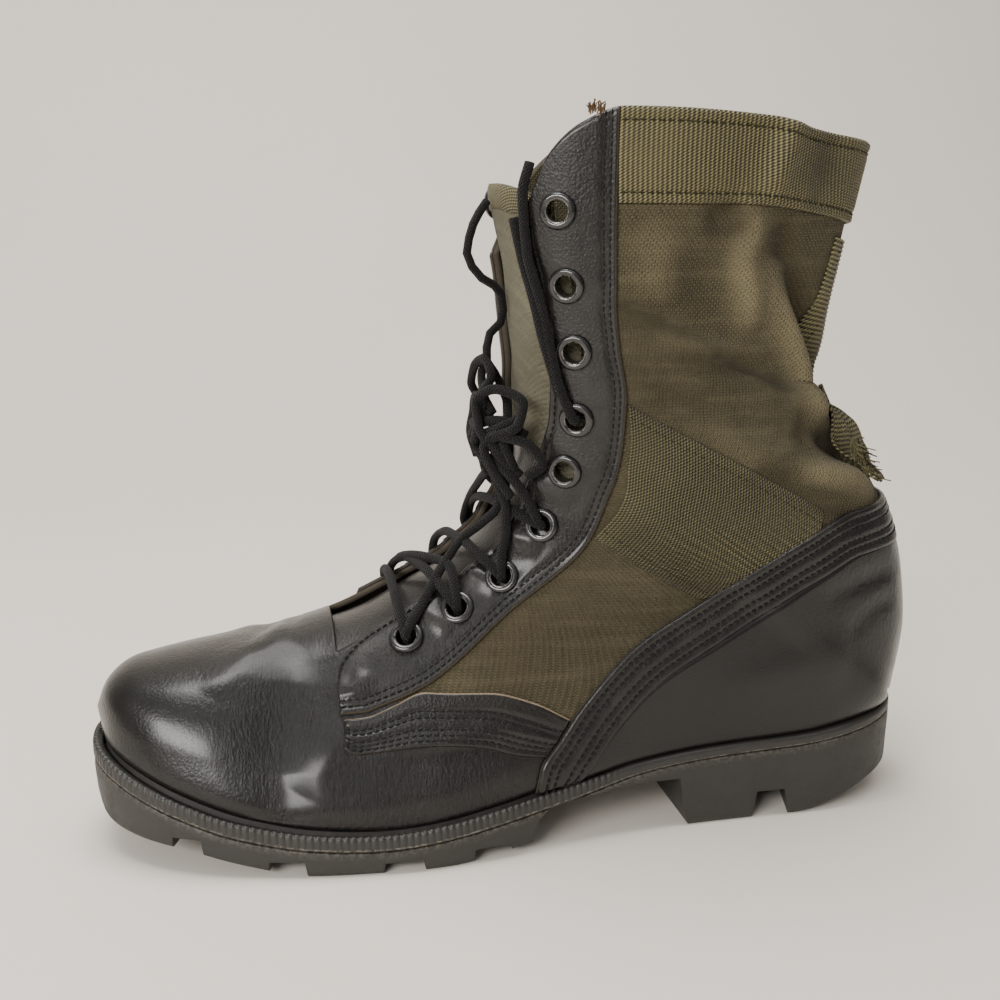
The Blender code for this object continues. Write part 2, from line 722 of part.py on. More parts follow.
def channel_cut(channel, side):
    """Slanted groove from the middle of the tread out through the side wall."""
    middle = TOE_X + channel.along * LENGTH
    floor = side_height(middle, "tread", 0.0)
    depth = HEEL_CHANNEL_DEPTH if channel.heel else LUG_DEPTH
    slope = HEEL_CHANNEL_SLOPE if channel.heel else LUG_SLOPE
    half = 0.5 * channel.width * LENGTH
    top, bottom = floor + depth, -LUG_DEPTH
    sections = []
    for reach in (channel.start, channel.end):
        y = side * reach * BALL_WIDTH
        x = middle + channel.slant * (reach - channel.end) * BALL_WIDTH
        sections.append([(x - half - slope, y, bottom), (x - half, y, top),
                         (x + half, y, top), (x + half + slope, y, bottom)])
    points = sections[0] + sections[1]
    faces = [(0, 1, 2, 3), (7, 6, 5, 4), (0, 4, 5, 1), (1, 5, 6, 2), (2, 6, 7, 3), (3, 7, 4, 0)]
    return points, faces


def cutter(name, points, faces):
    """Hidden body that a Boolean cuts with."""
    made = bpy.data.objects.new(name, mesh_from(name, points, faces))
    bpy.context.scene.collection.objects.link(made)
    made.hide_render = True
    made.display_type = "WIRE"
    return made


def combine(target, other, operation):
    change = target.modifiers.new(other.name, "BOOLEAN")
    change.operation = operation
    change.solver = "EXACT"
    change.object = other


def subtract(target, other):
    combine(target, other, "DIFFERENCE")


def make_welt():
    """Ribbed strip round the seat: smooth at the heel, toothed round the forefoot."""
    inset = WELT_WIDTH - WELT_EASE
    inner = plan_ring(inset, SOLE_STATIONS)
    coarse = plan_ring(0.0, SOLE_STATIONS)
    size = len(inner)
    inner_top = side_height(inner[:, 0], "seat", inset) - GAP
    coarse_top = side_height(coarse[:, 0], "seat", 0.0) - GAP
    inner_low = inner_top - welt_thickness(inner[:, 0], inset)
    coarse_low = coarse_top - welt_thickness(coarse[:, 0], 0.0)
    corners = np.column_stack([coarse, coarse_top, coarse_low])
    outer, starts = [], []
    for i in range(size):
        starts.append(len(outer))
        a, b = corners[i], corners[(i + 1) % size]
        run = b - a
        outer.append(a)
        if max(a[0], b[0]) > TOE_X + RIB_END * LENGTH:
            continue
        length = float(np.hypot(run[0], run[1]))
        teeth = max(1, round(length / RIB_PITCH))
        dent = np.array([-run[1], run[0], 0.0, 0.0]) / length * RIB_DEPTH
        for tooth in range(teeth):
            outer.append(a + run * (tooth + 0.5) / teeth + dent)
            if tooth + 1 < teeth:
                outer.append(a + run * (tooth + 1) / teeth)
    outer = np.array(outer)
    rim = len(outer)
    rings = [lifted(inner, inner_top), lifted(inner, inner_low), outer[:, [0, 1, 2]], outer[:, [0, 1, 3]]]
    low, out, out_low = size, 2 * size, 2 * size + rim
    faces = []
    for i in range(size):
        j = (i + 1) % size
        end = starts[j] if j else rim
        steps = [k % rim for k in range(starts[i], end + 1)]
        faces.append([j, i] + [out + k for k in steps])
        faces.append([low + i, low + j] + [out_low + k for k in reversed(steps)])
        faces.append((i, j, low + j, low + i))
        for k, after in zip(steps, steps[1:]):
            faces.append((out + k, out_low + k, out_low + after, out + after))
    return make_object("welt", mesh_from("welt", np.concatenate(rings), faces), "rubber")


def make_tongue():
    """Sheet that hangs behind the throat from the vamp to above the last eyelets."""
    sections = np.array(TONGUE_STEPS, float)
    columns = []
    for side in (1, -1):
        edge = turn_at_width(sections, np.full_like(sections, TONGUE_HALF_WIDTH), side)
        shares = np.linspace(1, 0, 5) if side > 0 else np.linspace(0, 1, 5)[1:]
        columns += [form(sections, edge * share, side) for share in shares]
    grid = np.stack(columns, axis=1)
    rows, width = grid.shape[:2]
    ids = np.arange(rows * width).reshape(rows, width)
    points = grid.reshape(-1, 3)
    faces = []
    for r in range(rows - 1):
        for c in range(width - 1):
            faces += halved(points, (ids[r, c], ids[r + 1, c], ids[r + 1, c + 1], ids[r, c + 1]))
    normals = sheet_normals(points, faces)
    near = -(UPPER_WALL + TONGUE_EASE)
    return make_object("tongue", shell("tongue", points, normals, faces, near - TONGUE_WALL, near), "canvas")


def side_line(table):
    return np.array([(TOE_X + row.along * LENGTH, row.height * SHAFT_HEIGHT) for row in table])


def smooth(table, count):
    """Evenly spaced points of a smooth line through a table's points."""
    line = side_line(table)
    runs = np.concatenate([[0.0], np.cumsum(np.hypot(*np.diff(line, axis=0).T))])
    at = np.linspace(0, runs[-1], count)
    return np.stack([curve(runs, line[:, 0], at), curve(runs, line[:, 1], at)], axis=-1)


def beside(line, distance):
    """Line moved to the left of its own direction."""
    run = np.gradient(line, axis=0)
    left = np.stack([-run[:, 1], run[:, 0]], axis=-1)
    return line + left / np.linalg.norm(left, axis=1, keepdims=True) * distance


def stretch(line, axis, low, high):
    """Part of a line between two values of x (axis 0) or of z (axis 1)."""
    inside = line[(line[:, axis] > low) & (line[:, axis] < high)]
    ends = [[np.interp(value, line[:, axis], line[:, k]) for k in (0, 1)] for value in (low, high)]
    return np.concatenate([ends[:1], inside, ends[1:]])


def facing_rear():
    return smooth(FACING_REAR, 20)


def counter_top():
    return smooth(COUNTER_TOP, 20)


def facing_outline():
    """Eyelet facing: everything in front of its rear edge."""
    front = side_line([FACING_FRONT])[0]
    rear = facing_rear()
    return [tuple(front), *rear, (front[0], rear[-1][1])]


def wing_outline():
    """Low strip of the quarter between the facing and the counter."""
    return [*side_line(WING_LOW), *side_line(WING_TOP)[::-1]]


def webbing_outline():
    """Ankle band from the facing to the counter."""
    low, top = side_line(WEBBING_LOW), side_line(WEBBING_TOP)
    front = stretch(beside(facing_rear(), -GAP), 1, low[0][1], top[0][1])
    border = stretch(beside(counter_top(), GAP), 0, low[-1][0], top[-1][0])
    return [*front, *top[1:], *border[::-1], *low[1:-1][::-1]]


def over_seat(line):
    """Line with every point kept clear above the seat."""
    seat = side_height(line[:, 0], "seat", WELT_WIDTH) + GAP
    return np.column_stack([line[:, 0], np.maximum(line[:, 1], seat)])


def band_outline():
    """Stitched band along the top edge of the counter, its foot on the sole."""
    top = counter_top()
    start = np.argmax(top[:, 1] > side_height(top[:, 0], "seat", WELT_WIDTH) + 2 * GAP)
    low = beside(top, -COUNTER_BAND)
    foot = np.linspace(top[start][0], low[low[:, 1] > low[0][1]][0][0], 6)[1:]
    foot = over_seat(np.column_stack([foot, np.zeros(len(foot))]))
    low = over_seat(low)
    return [*foot, *low[low[:, 0] > foot[-1][0]], *top[start:][::-1]]


def counter_outline():
    """Heel piece under the band, down to the sole."""
    edge = beside(counter_top(), -COUNTER_BAND - GAP)
    edge = edge[edge[:, 1] > side_height(edge[:, 0], "seat", WELT_WIDTH) + 2 * GAP]
    foot = np.linspace(edge[0][0], edge[-1][0], 24)
    foot = over_seat(np.column_stack([foot, np.zeros(len(foot))]))
    return [*foot, *edge[::-1]]


def cuff_outline():
    """Webbing round the top of the shaft, from facing to facing."""
    line = side_line(CUFF_LINE)
    front = beside(facing_rear(), -GAP)
    start = np.interp(line[0][1], front[:, 1], front[:, 0])
    front = stretch(front, 1, line[0][1], front[-1][1])
    return [*front, (line[-1][0], front[-1][1]), *line[line[:, 0] > start][::-1]]


def backstay_outline():
    """Strip down the back of the shaft under the cuff."""
    foot = side_line([BACKSTAY_FOOT])[0]
    line = beside(side_line(CUFF_LINE), -GAP)
    top = stretch(line, 0, foot[0], line[-1][0])
    return [tuple(foot), (top[-1][0], foot[1]), *top[::-1]]


def overlay(name, slot, sheet, outline, low, high, wall):
    """Piece laid on the upper: a wall round the whole form, kept inside an outline of the
    side view and between two planes across the boot."""
    points, normals, faces, _, seat = sheet
    piece = make_object(name, shell(name, points, normals, faces, GAP, GAP + wall, seat), slot)
    combine(piece, cutter(name + "_outline", *extruded(outline, low, high)), "INTERSECT")
    return piece


def make_overlays(sheet):
    """Facings, quarter strips, ankle webbing, counter, cuff and backstay."""
    across = BALL_WIDTH
    middle = column(SECTIONS, "ridge")[THROAT] * BALL_WIDTH
    pieces = {}
    for side_name, low, high in (("lateral", -across, middle), ("medial", middle, across)):
        pieces["facing_" + side_name] = overlay(
            "facing_" + side_name, "leather", sheet, facing_outline(), low, high, OVERLAY_WALL)
        overlay("wing_" + side_name, "leather", sheet, wing_outline(), low, high, OVERLAY_WALL)
        overlay("ankle_webbing_" + side_name, "webbing", sheet, webbing_outline(), low, high, OVERLAY_WALL)
    overlay("counter_band", "leather", sheet, band_outline(), -across, across, BAND_WALL)
    overlay("heel_counter", "leather", sheet, counter_outline(), -across, across, OVERLAY_WALL)
    overlay("collar_band", "webbing", sheet, cuff_outline(), -across, across, BAND_WALL)
    half = 0.5 * BACKSTAY_WIDTH
    overlay("backstay", "webbing", sheet, backstay_outline(), -half, half, OVERLAY_WALL)
    return pieces


def place_on(section, turn, side):
    """Point of the form, its outward normal and a direction up the section lines."""
    step = 0.02
    point = form(section, turn, side)
    along = form(section + step, turn, side) - form(section - step, turn, side)
    around = form(section, turn + step, side) - form(section, turn - step, side)
    normal = np.cross(along, around) * side
    return point, normal / np.linalg.norm(normal), along / np.linalg.norm(along)


def over(section, turn, lift):
    """Point lifted off the form. A negative turn is on the lateral side."""
    side = -1 if turn < 0 else 1
    point, normal, _ = place_on(section, max(abs(turn), 0.021), side)
    if abs(turn) < 0.021:
        normal = normal * (1, 0, 1)
        normal = normal / np.linalg.norm(normal)
        point = form(section, 0.0, side)
    return point + normal * lift


def eyelet_turn(section, side):
    """Turn at which an eyelet stands its setback behind the throat's edge."""
    edge = throat_turn(section, side)
    start = form(section, edge, side)
    low, high = float(edge), 0.6
    for _ in range(40):
        middle = 0.5 * (low + high)
        near = np.linalg.norm(form(section, middle, side) - start) < EYELET_SETBACK
        low, high = (middle, high) if near else (low, middle)
    return 0.5 * (low + high)


def turned(name, profile, place, steps):
    """Body turned round the normal of a place. The profile is a closed loop of (radius, height)."""
    point, normal, along = place
    across = np.cross(normal, along)
    across = across / np.linalg.norm(across)
    along = np.cross(across, normal)
    points, faces = [], []
    for step in range(steps):
        angle = 2 * np.pi * step / steps
        out = np.cos(angle) * along + np.sin(angle) * across
        points += [point + out * radius + normal * height for radius, height in profile]
    size = len(profile)
    for step in range(steps):
        after = (step + 1) % steps
        for k in range(size):
            j = (k + 1) % size
            faces.append((step * size + k, step * size + j, after * size + j, after * size + k))
    return points, faces


def eyelet_profile(bore, base):
    tube = bore + EYELET_TUBE
    foot = -UPPER_WALL - GAP
    return ((bore, foot), (tube, foot + EYELET_CONE), (tube, base), (EYELET_FLANGE, base + EYELET_CONE),
            (0.5 * (EYELET_FLANGE + bore), base + EYELET_RISE), (bore, base + 0.5 * EYELET_RISE))


def make_eyelets(upper, facings):
    """Nine eyelets a side, each in a hole through facing and upper."""
    base = GAP + OVERLAY_WALL + EYELET_LIFT
    for side, side_name in ((-1, "lateral"), (1, "medial")):
        holes, sheets = [], []
        for number, section in enumerate(EYELETS, 1):
            place = place_on(section, eyelet_turn(section, side), side)
            name = "eyelet_%s_%d" % (side_name, number)
            points, faces = turned(name, eyelet_profile(EYELET_BORE, base), place, ROUND_STEPS)
            make_object(name, mesh_from(name, points, faces), "eyelet")
            radius = EYELET_BORE + EYELET_TUBE + GAP
            bar = ((0.0, -0.006), (radius, -0.006), (radius, 0.008), (0.0, 0.008))
            points, faces = turned(name, bar, place, ROUND_STEPS)
            sheets += [tuple(index + len(holes) for index in face) for face in faces]
            holes += list(points)
        holes_body = cutter("eyelet_holes_" + side_name, holes, sheets)
        subtract(upper, holes_body)
        subtract(facings[side_name], holes_body)


def make_vents():
    """Two screened drain eyelets at the arch on the medial side."""
    base = 2 * GAP
    for number, row in enumerate(VENTS, 1):
        name = "vent_%d" % number
        place = place_on(row.section, row.turn, 1)
        flange = 0.8 * EYELET_FLANGE
        profile = ((0.0, base), (flange, base), (0.5 * (flange + VENT_BORE), base + EYELET_RISE),
                   (VENT_BORE, base + 0.4 * EYELET_RISE), (0.0, base + 0.4 * EYELET_RISE))
        points, faces = turned(name, profile, place, ROUND_STEPS)
        make_object(name, mesh_from(name, points, faces), "eyelet")


def cord(name, path):
    """Lace along a path, as a curve with a round bevel and closed ends."""
    shape = bpy.data.curves.new(name, "CURVE")
    shape.dimensions = "3D"
    shape.bevel_depth = 0.5 * LACE
    shape.bevel_resolution = 1
    shape.use_fill_caps = True
    spline = shape.splines.new("POLY")
    spline.points.add(len(path) - 1)
    for point, place in zip(spline.points, path):
        point.co = (*place, 1.0)
    shape.materials.append(material("lace"))
    made = bpy.data.objects.new(name, shape)
    bpy.context.scene.collection.objects.link(made)
    return made


def rounded(path, count):
    """Evenly spaced points of a smooth curve through a path's points."""
    path = np.array(path)
    runs = np.concatenate([[0.0], np.cumsum(np.linalg.norm(np.diff(path, axis=0), axis=1))])
    at = np.linspace(0, runs[-1], count)
    return np.stack([curve(runs, path[:, k], at) for k in range(3)], axis=-1)


def make_laces():
    """Crossings over the tongue, and the knot with its loops and ends."""
    high = GAP + OVERLAY_WALL + EYELET_LIFT + EYELET_RISE + 0.5 * LACE + 6 * GAP
    turns = []
    for section in EYELETS[:LACED]:
        for side in (-1, 1):
            turns.append((section, side * eyelet_turn(section, side)))
    points = []
    for (p0, t0), (p1, t1) in zip(turns, turns[1:]):
        for share in np.linspace(0, 1, 6)[:-1]:
            turn = t0 + (t1 - t0) * share
            reach = min(1.0, 1.25 * abs(turn) / abs(t0 if turn * t0 > 0 else t1))
            lift = LACE_DIP + (high - LACE_DIP) * reach
            points.append(over(p0 + (p1 - p0) * share, turn, lift))
    points.append(over(*turns[-1], high))
    cord("lace_crossings", points)
    for name, rows in (("lace_bow", BOW), ("lace_end", END_SIDE)):
        guide = [over(row.section, row.turn, row.lift) for row in rows]
        cord(name, rounded(guide, 3 * len(guide)))


def settle():
    """Put the middle of the footprint on the origin."""
    for thing in bpy.data.objects:
        thing.location = (-CENTRE_X, -CENTRE_Y, 0.0)


def main():
    clear_scene()
    make_outsole()
    make_welt()
    make_insole()
    sheet = form_sheet()
    upper = make_upper(sheet)
    make_tongue()
    pieces = make_overlays(sheet)
    facings = {name.split("_")[1]: piece for name, piece in pieces.items()}
    make_eyelets(upper, facings)
    make_vents()
    make_laces()
    settle()


main()
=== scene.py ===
"""Looks of the left jungle boot: leather foot, canvas shaft, webbing, eyelets, lace, lug sole.

Metres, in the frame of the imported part: toe towards -X, outer side towards -Y, floor at z = 0.
What lies on the upper is placed by section and turn. The sections fan out from the front line
over toe, instep and shin to the seat and the back line. Turn runs from 0 on the front line to 1
at the seat or the back, and is negative on the outer side.
"""
from collections import namedtuple
from functools import lru_cache

import bmesh
import bpy
import numpy as np
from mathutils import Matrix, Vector


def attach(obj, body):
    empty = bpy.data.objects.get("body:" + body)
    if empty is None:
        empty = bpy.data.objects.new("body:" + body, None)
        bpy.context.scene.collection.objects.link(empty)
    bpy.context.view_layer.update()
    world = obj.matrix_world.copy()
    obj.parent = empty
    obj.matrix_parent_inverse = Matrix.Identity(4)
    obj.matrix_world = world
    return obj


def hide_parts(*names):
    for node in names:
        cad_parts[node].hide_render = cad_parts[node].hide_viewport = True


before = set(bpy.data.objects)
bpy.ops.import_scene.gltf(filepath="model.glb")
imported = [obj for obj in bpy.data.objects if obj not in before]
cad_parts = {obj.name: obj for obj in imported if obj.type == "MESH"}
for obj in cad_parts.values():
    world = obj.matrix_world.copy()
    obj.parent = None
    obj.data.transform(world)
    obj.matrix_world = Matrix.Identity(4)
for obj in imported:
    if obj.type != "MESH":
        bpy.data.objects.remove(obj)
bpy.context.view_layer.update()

bl_info = {
    "name": "Left jungle boot",
    "version": (1, 0, 0),
    "blender": (4, 5, 0),
    "location": "View3D > Sidebar > Boot",
    "description": "Builds the finished pieces of a left jungle boot around its packed solids",
    "category": "Object",
}

# Driving sizes of the last and the shaft, as in the solids
LENGTH = 0.302
BALL_WIDTH = 0.106
HEEL_HEIGHT = 0.034
UPPER_RISE = 0.222
CENTRE = np.array([0.0018, -0.0024, 0.0])
GAP = 0.0003
UPPER_WALL = 0.0022
TONGUE_WALL = 0.0016
TONGUE_EASE = 0.0016
WELT_WIDTH = 0.0040
WELT_THICK = 0.0055
WELT_HEEL_THICK = 0.0038
WALL_DRAFT = 0.0006
TREAD_EDGE = 0.0024
LUG_DEPTH = 0.0042
LUG_SLOPE = 0.0012
HEEL_CHANNEL_DEPTH = 0.0104
HEEL_CHANNEL_SLOPE = 0.0025
RIB_END = 0.52
TONGUE_HALF_WIDTH = 0.031
COUNTER_BAND = 0.0165
BACKSTAY_WIDTH = 0.025
EYELET_SETBACK = 0.0115
INSOLE_THICK = 0.003
INSOLE_EASE = 0.0012
TOE_X = -0.5 * LENGTH
SHAFT_HEIGHT = HEEL_HEIGHT + UPPER_RISE


def table_of(kind, *table):
    """Table whose rows all have the named columns of a kind."""
    return tuple(kind(*row) for row in table)


# Plan of the outsole: share of length from the toe, half widths in shares of the ball width
PlanRow = namedtuple("PlanRow", "along lateral medial")
PLAN = table_of(
    PlanRow, (0.00, 0.360, 0.400), (0.10, 0.415, 0.435), (0.20, 0.475, 0.465), (0.28, 0.510, 0.475),
    (0.36, 0.520, 0.445), (0.45, 0.490, 0.375), (0.55, 0.420, 0.315), (0.65, 0.375, 0.295),
    (0.75, 0.355, 0.310), (0.85, 0.345, 0.330), (1.00, 0.345, 0.330))
TOE_ROUND = 0.17
TOE_POWER = 2.35
HEEL_ROUND = 0.155
HEEL_POWER = 2.3

# Side view of the sole: heights in shares of the heel height.
# seat is the feather line where the upper meets the sole, tread is the lower edge of the side wall.
SideRow = namedtuple("SideRow", "along seat tread")
SIDE = table_of(
    SideRow, (0.000, 1.13, 0.62), (0.015, 1.07, 0.38), (0.045, 0.95, 0.31), (0.100, 0.76, 0.25),
    (0.170, 0.57, 0.11), (0.240, 0.46, 0.00), (0.320, 0.42, 0.00), (0.400, 0.47, 0.00),
    (0.470, 0.56, 0.07), (0.550, 0.66, 0.12), (0.640, 0.80, 0.00), (0.740, 0.88, 0.00),
    (0.840, 0.92, 0.00), (0.900, 0.98, 0.12), (0.960, 1.05, 0.28), (1.000, 1.09, 0.34))

# Sections of the upper. Each runs from the front line over the toe, instep and shin to the
# feather line or, from the heel on, to the back line. Front places in shares of length, back
# places in shares of the upper's own plan, rises above the feather line in shares of the
# upper's rise, ridge and half widths in shares of the ball width. The half widths stand at
# the shares of turn in TURNS.
TURNS = (0.0, 0.15, 0.30, 0.45, 0.60, 0.80, 1.0)
Section = namedtuple("Section", "front rise back back_rise ridge lateral medial")
SECTIONS = table_of(
    Section,
    (0.0066, 0.041, 0.0000, None, 0.00, (.14, .235, .29, .31, .325), (.14, .245, .31, .345, .36)),
    (0.0180, 0.083, 0.0069, None, 0.00, (.14, .24, .30, .325, .34), (.14, .25, .32, .355, .375)),
    (0.0440, 0.128, 0.0306, None, 0.01, (.14, .245, .305, .335, .35), (.145, .255, .325, .365, .385)),
    (0.0800, 0.160, 0.0687, None, 0.02, (.145, .255, .32, .355, .375), (.145, .26, .335, .38, .405)),
    (0.1330, 0.198, 0.1230, None, 0.03, (.15, .265, .34, .38, .405), (.15, .265, .35, .395, .425)),
    (0.2050, 0.240, 0.1970, None, 0.05, (.155, .275, .36, .41, .45), (.15, .27, .355, .405, .435)),
    (0.2840, 0.277, 0.2760, None, 0.06, (.155, .285, .38, .445, .485), (.155, .27, .35, .405, .44)),
    (0.3490, 0.318, 0.3720, None, 0.06, (.16, .29, .385, .45, .49), (.16, .265, .335, .385, .415)),
    (0.4150, 0.356, 0.4800, None, 0.06, (.165, .29, .375, .425, .45), (.16, .26, .32, .365, .37)),
    (0.4640, 0.403, 0.6030, None, 0.05, (.175, .285, .36, .39, .39), (.17, .265, .315, .345, .34)),
    (0.4900, 0.457, 0.7410, None, 0.04, (.19, .285, .345, .365, .345), (.185, .275, .325, .34, .32)),
    (0.4980, 0.514, 0.8750, None, 0.03, (.20, .29, .34, .35, .33), (.20, .29, .335, .34, .32)),
    (0.4980, 0.559, 0.9670, None, 0.02, (.205, .30, .34, .34, .32), (.205, .30, .34, .34, .315)),
    (0.4970, 0.599, 1.0000, None, 0.01, (.21, .31, .345, .34, .30), (.21, .31, .345, .34, .30)),
    (0.4950, 0.635, 1.0136, .036, 0.01, (.21, .31, .35, .34, .27), (.21, .31, .35, .34, .27)),
    (0.4935, 0.671, 1.0240, .126, 0.00, (.21, .315, .355, .34, .255), (.21, .315, .355, .34, .255)),
    (0.4900, 0.712, 1.0167, .225, 0.00, (.21, .32, .36, .335, .245), (.21, .32, .36, .335, .245)),
    (0.4870, 0.752, 0.9920, .333, 0.00, (.21, .32, .36, .33, .225), (.21, .32, .36, .33, .225)),
    (0.4835, 0.793, 0.9694, .396, 0.00, (.205, .32, .36, .325, .20), (.205, .32, .36, .325, .20)),
    (0.4790, 0.833, 0.9420, .468, 0.00, (.20, .32, .36, .32, .19), (.20, .32, .36, .32, .19)),
    (0.4740, 0.878, 0.8935, .541, 0.00, (.20, .32, .36, .32, .18), (.20, .32, .36, .32, .18)),
    (0.4690, 0.937, 0.9007, .653, 0.00, (.20, .325, .365, .32, .185), (.20, .325, .365, .32, .185)),
    (0.4670, 1.005, 0.9212, .793, 0.00, (.20, .33, .375, .33, .20), (.20, .33, .375, .33, .20)),
    (0.4660, 1.081, 0.9582, 1.014, 0.00, (.20, .34, .385, .35, .215), (.20, .34, .385, .35, .215)))
LAST_FEATHER = 13
THROAT = 6
TOP = len(SECTIONS) - 1

# Half width of the throat opening at its foot and up the shaft, shares of the ball width
ThroatRow = namedtuple("ThroatRow", "section lateral medial")
THROAT_GAPS = table_of(
    ThroatRow, (6, 0.230, 0.150), (7, 0.205, 0.150), (8, 0.190, 0.150), (10, 0.190, 0.150),
    (14, 0.235, 0.160), (TOP, 0.245, 0.170))

# Top line of the shaft in side view: share of length, height over the heel seat in shares of rise
CollarRow = namedtuple("CollarRow", "along lateral medial")
COLLAR = table_of(
    CollarRow, (0.480, 0.780, 0.740), (0.508, 0.855, 0.800), (0.526, 0.920, 0.850),
    (0.559, 0.965, 0.910), (0.602, 0.987, 0.950), (0.772, 0.977, 0.970), (0.831, 0.960, 0.960),
    (0.960, 0.941, 0.941))

# Hollow under the waist in side view: share of length, height in shares of the heel height
ArchRow = namedtuple("ArchRow", "along height")
ARCH = table_of(
    ArchRow, (0.492, -0.30), (0.502, 0.26), (0.517, 0.43), (0.580, 0.52), (0.626, 0.565), (0.687, 0.555),
    (0.692, 0.20), (0.712, -0.30))

# Grooves of the tread: middle at the side wall, groove width in shares of length, start and
# end from the middle line in shares of the ball width, slant of the groove
Channel = namedtuple("Channel", "along width start end slant heel")
CHANNELS = table_of(
    Channel, (0.085, 0.036, 0.06, 0.62, -0.30, False), (0.200, 0.042, 0.06, 0.62, -0.35, False),
    (0.334, 0.044, 0.06, 0.62, -0.35, False), (0.436, 0.040, 0.06, 0.62, -0.30, False),
    (0.792, 0.036, 0.10, 0.50, -0.25, True))
# Lines on the side of the boot: share of length from the toe, height in shares of the boot's
# height over the heel seat and the heel together
EdgeRow = namedtuple("EdgeRow", "along height")
FACING_FRONT = EdgeRow(0.287, 0.200)
FACING_REAR = table_of(
    EdgeRow, (0.314, 0.202), (0.380, 0.231), (0.484, 0.322), (0.579, 0.418), (0.598, 0.475),
    (0.612, 0.545), (0.614, 0.613), (0.605, 0.680), (0.599, 0.746), (0.597, 0.867), (0.598, 1.060))
WING_TOP = table_of(
    EdgeRow, (0.288, 0.194), (0.314, 0.197), (0.345, 0.210), (0.380, 0.225), (0.400, 0.2235),
    (0.455, 0.2215), (0.504, 0.206), (0.5475, 0.178))
WING_LOW = table_of(
    EdgeRow, (0.285, 0.163), (0.297, 0.154), (0.379, 0.160), (0.439, 0.153), (0.483, 0.138),
    (0.516, 0.131))
COUNTER_TOP = table_of(
    EdgeRow, (0.500, 0.040), (0.504, 0.085), (0.510, 0.118), (0.532, 0.150), (0.561, 0.194),
    (0.622, 0.266), (0.710, 0.329), (0.752, 0.358), (0.831, 0.410), (0.899, 0.443), (0.974, 0.451),
    (1.060, 0.453))
WEBBING_TOP = table_of(EdgeRow, (0.616, 0.606), (0.698, 0.553), (0.804, 0.487), (0.860, 0.450))
WEBBING_LOW = table_of(EdgeRow, (0.584, 0.421), (0.649, 0.371), (0.706, 0.332))
CUFF_LINE = table_of(
    EdgeRow, (0.590, 0.869), (0.747, 0.868), (0.849, 0.855), (0.910, 0.842), (0.980, 0.830),
    (1.060, 0.820))
BACKSTAY_FOOT = EdgeRow(0.780, 0.590)

# Sections of the upper that hold an eyelet on each side, and the two drain eyelets of the arch
EYELETS = (7.16, 8.0, 8.87, 10.18, 12.02, 14.5, 16.73, 19.16, 21.04)
VentRow = namedtuple("VentRow", "section turn")
VENTS = table_of(VentRow, (7.15, 0.82), (7.75, 0.82))

# Path of the lace over the upper: section, turn from the ridge (lateral is negative), lift
LaceRow = namedtuple("LaceRow", "section turn lift")
LACED = 4
BOW = table_of(
    LaceRow, (20.7, -0.020, -0.0014), (20.2, -0.025, 0.0050), (19.3, -0.030, 0.0092),
    (18.3, -0.030, 0.0055), (17.6, -0.022, -0.0012), (16.6, -0.022, -0.0012), (16.0, -0.030, 0.0050),
    (15.2, -0.035, 0.0075), (14.2, -0.035, 0.0035), (13.0, -0.050, 0.0015), (11.9, -0.085, 0.0040),
    (11.0, -0.080, 0.0050), (10.7, 0.000, 0.0075), (11.2, 0.070, 0.0090), (12.2, 0.060, 0.0090),
    (12.5, -0.040, 0.0085), (11.9, -0.110, 0.0095), (11.1, -0.135, 0.0070))
END_SIDE = table_of(
    LaceRow, (15.0, -0.205, 0.0033), (15.9, -0.198, 0.0045), (17.0, -0.190, 0.0055),
    (18.2, -0.182, 0.0045), (19.4, -0.175, 0.0034), (20.6, -0.165, 0.0033))


# Folds of leather and cloth: depth over the form (ridges positive), half width, and the places
# that the fold runs through, as section and turn (negative on the outer side)
Fold = namedtuple("Fold", "depth width path")
Place = namedtuple("Place", "section turn")


def fold(depth, width, *path):
    return Fold(depth, width, tuple(Place(section, turn) for section, turn in path))


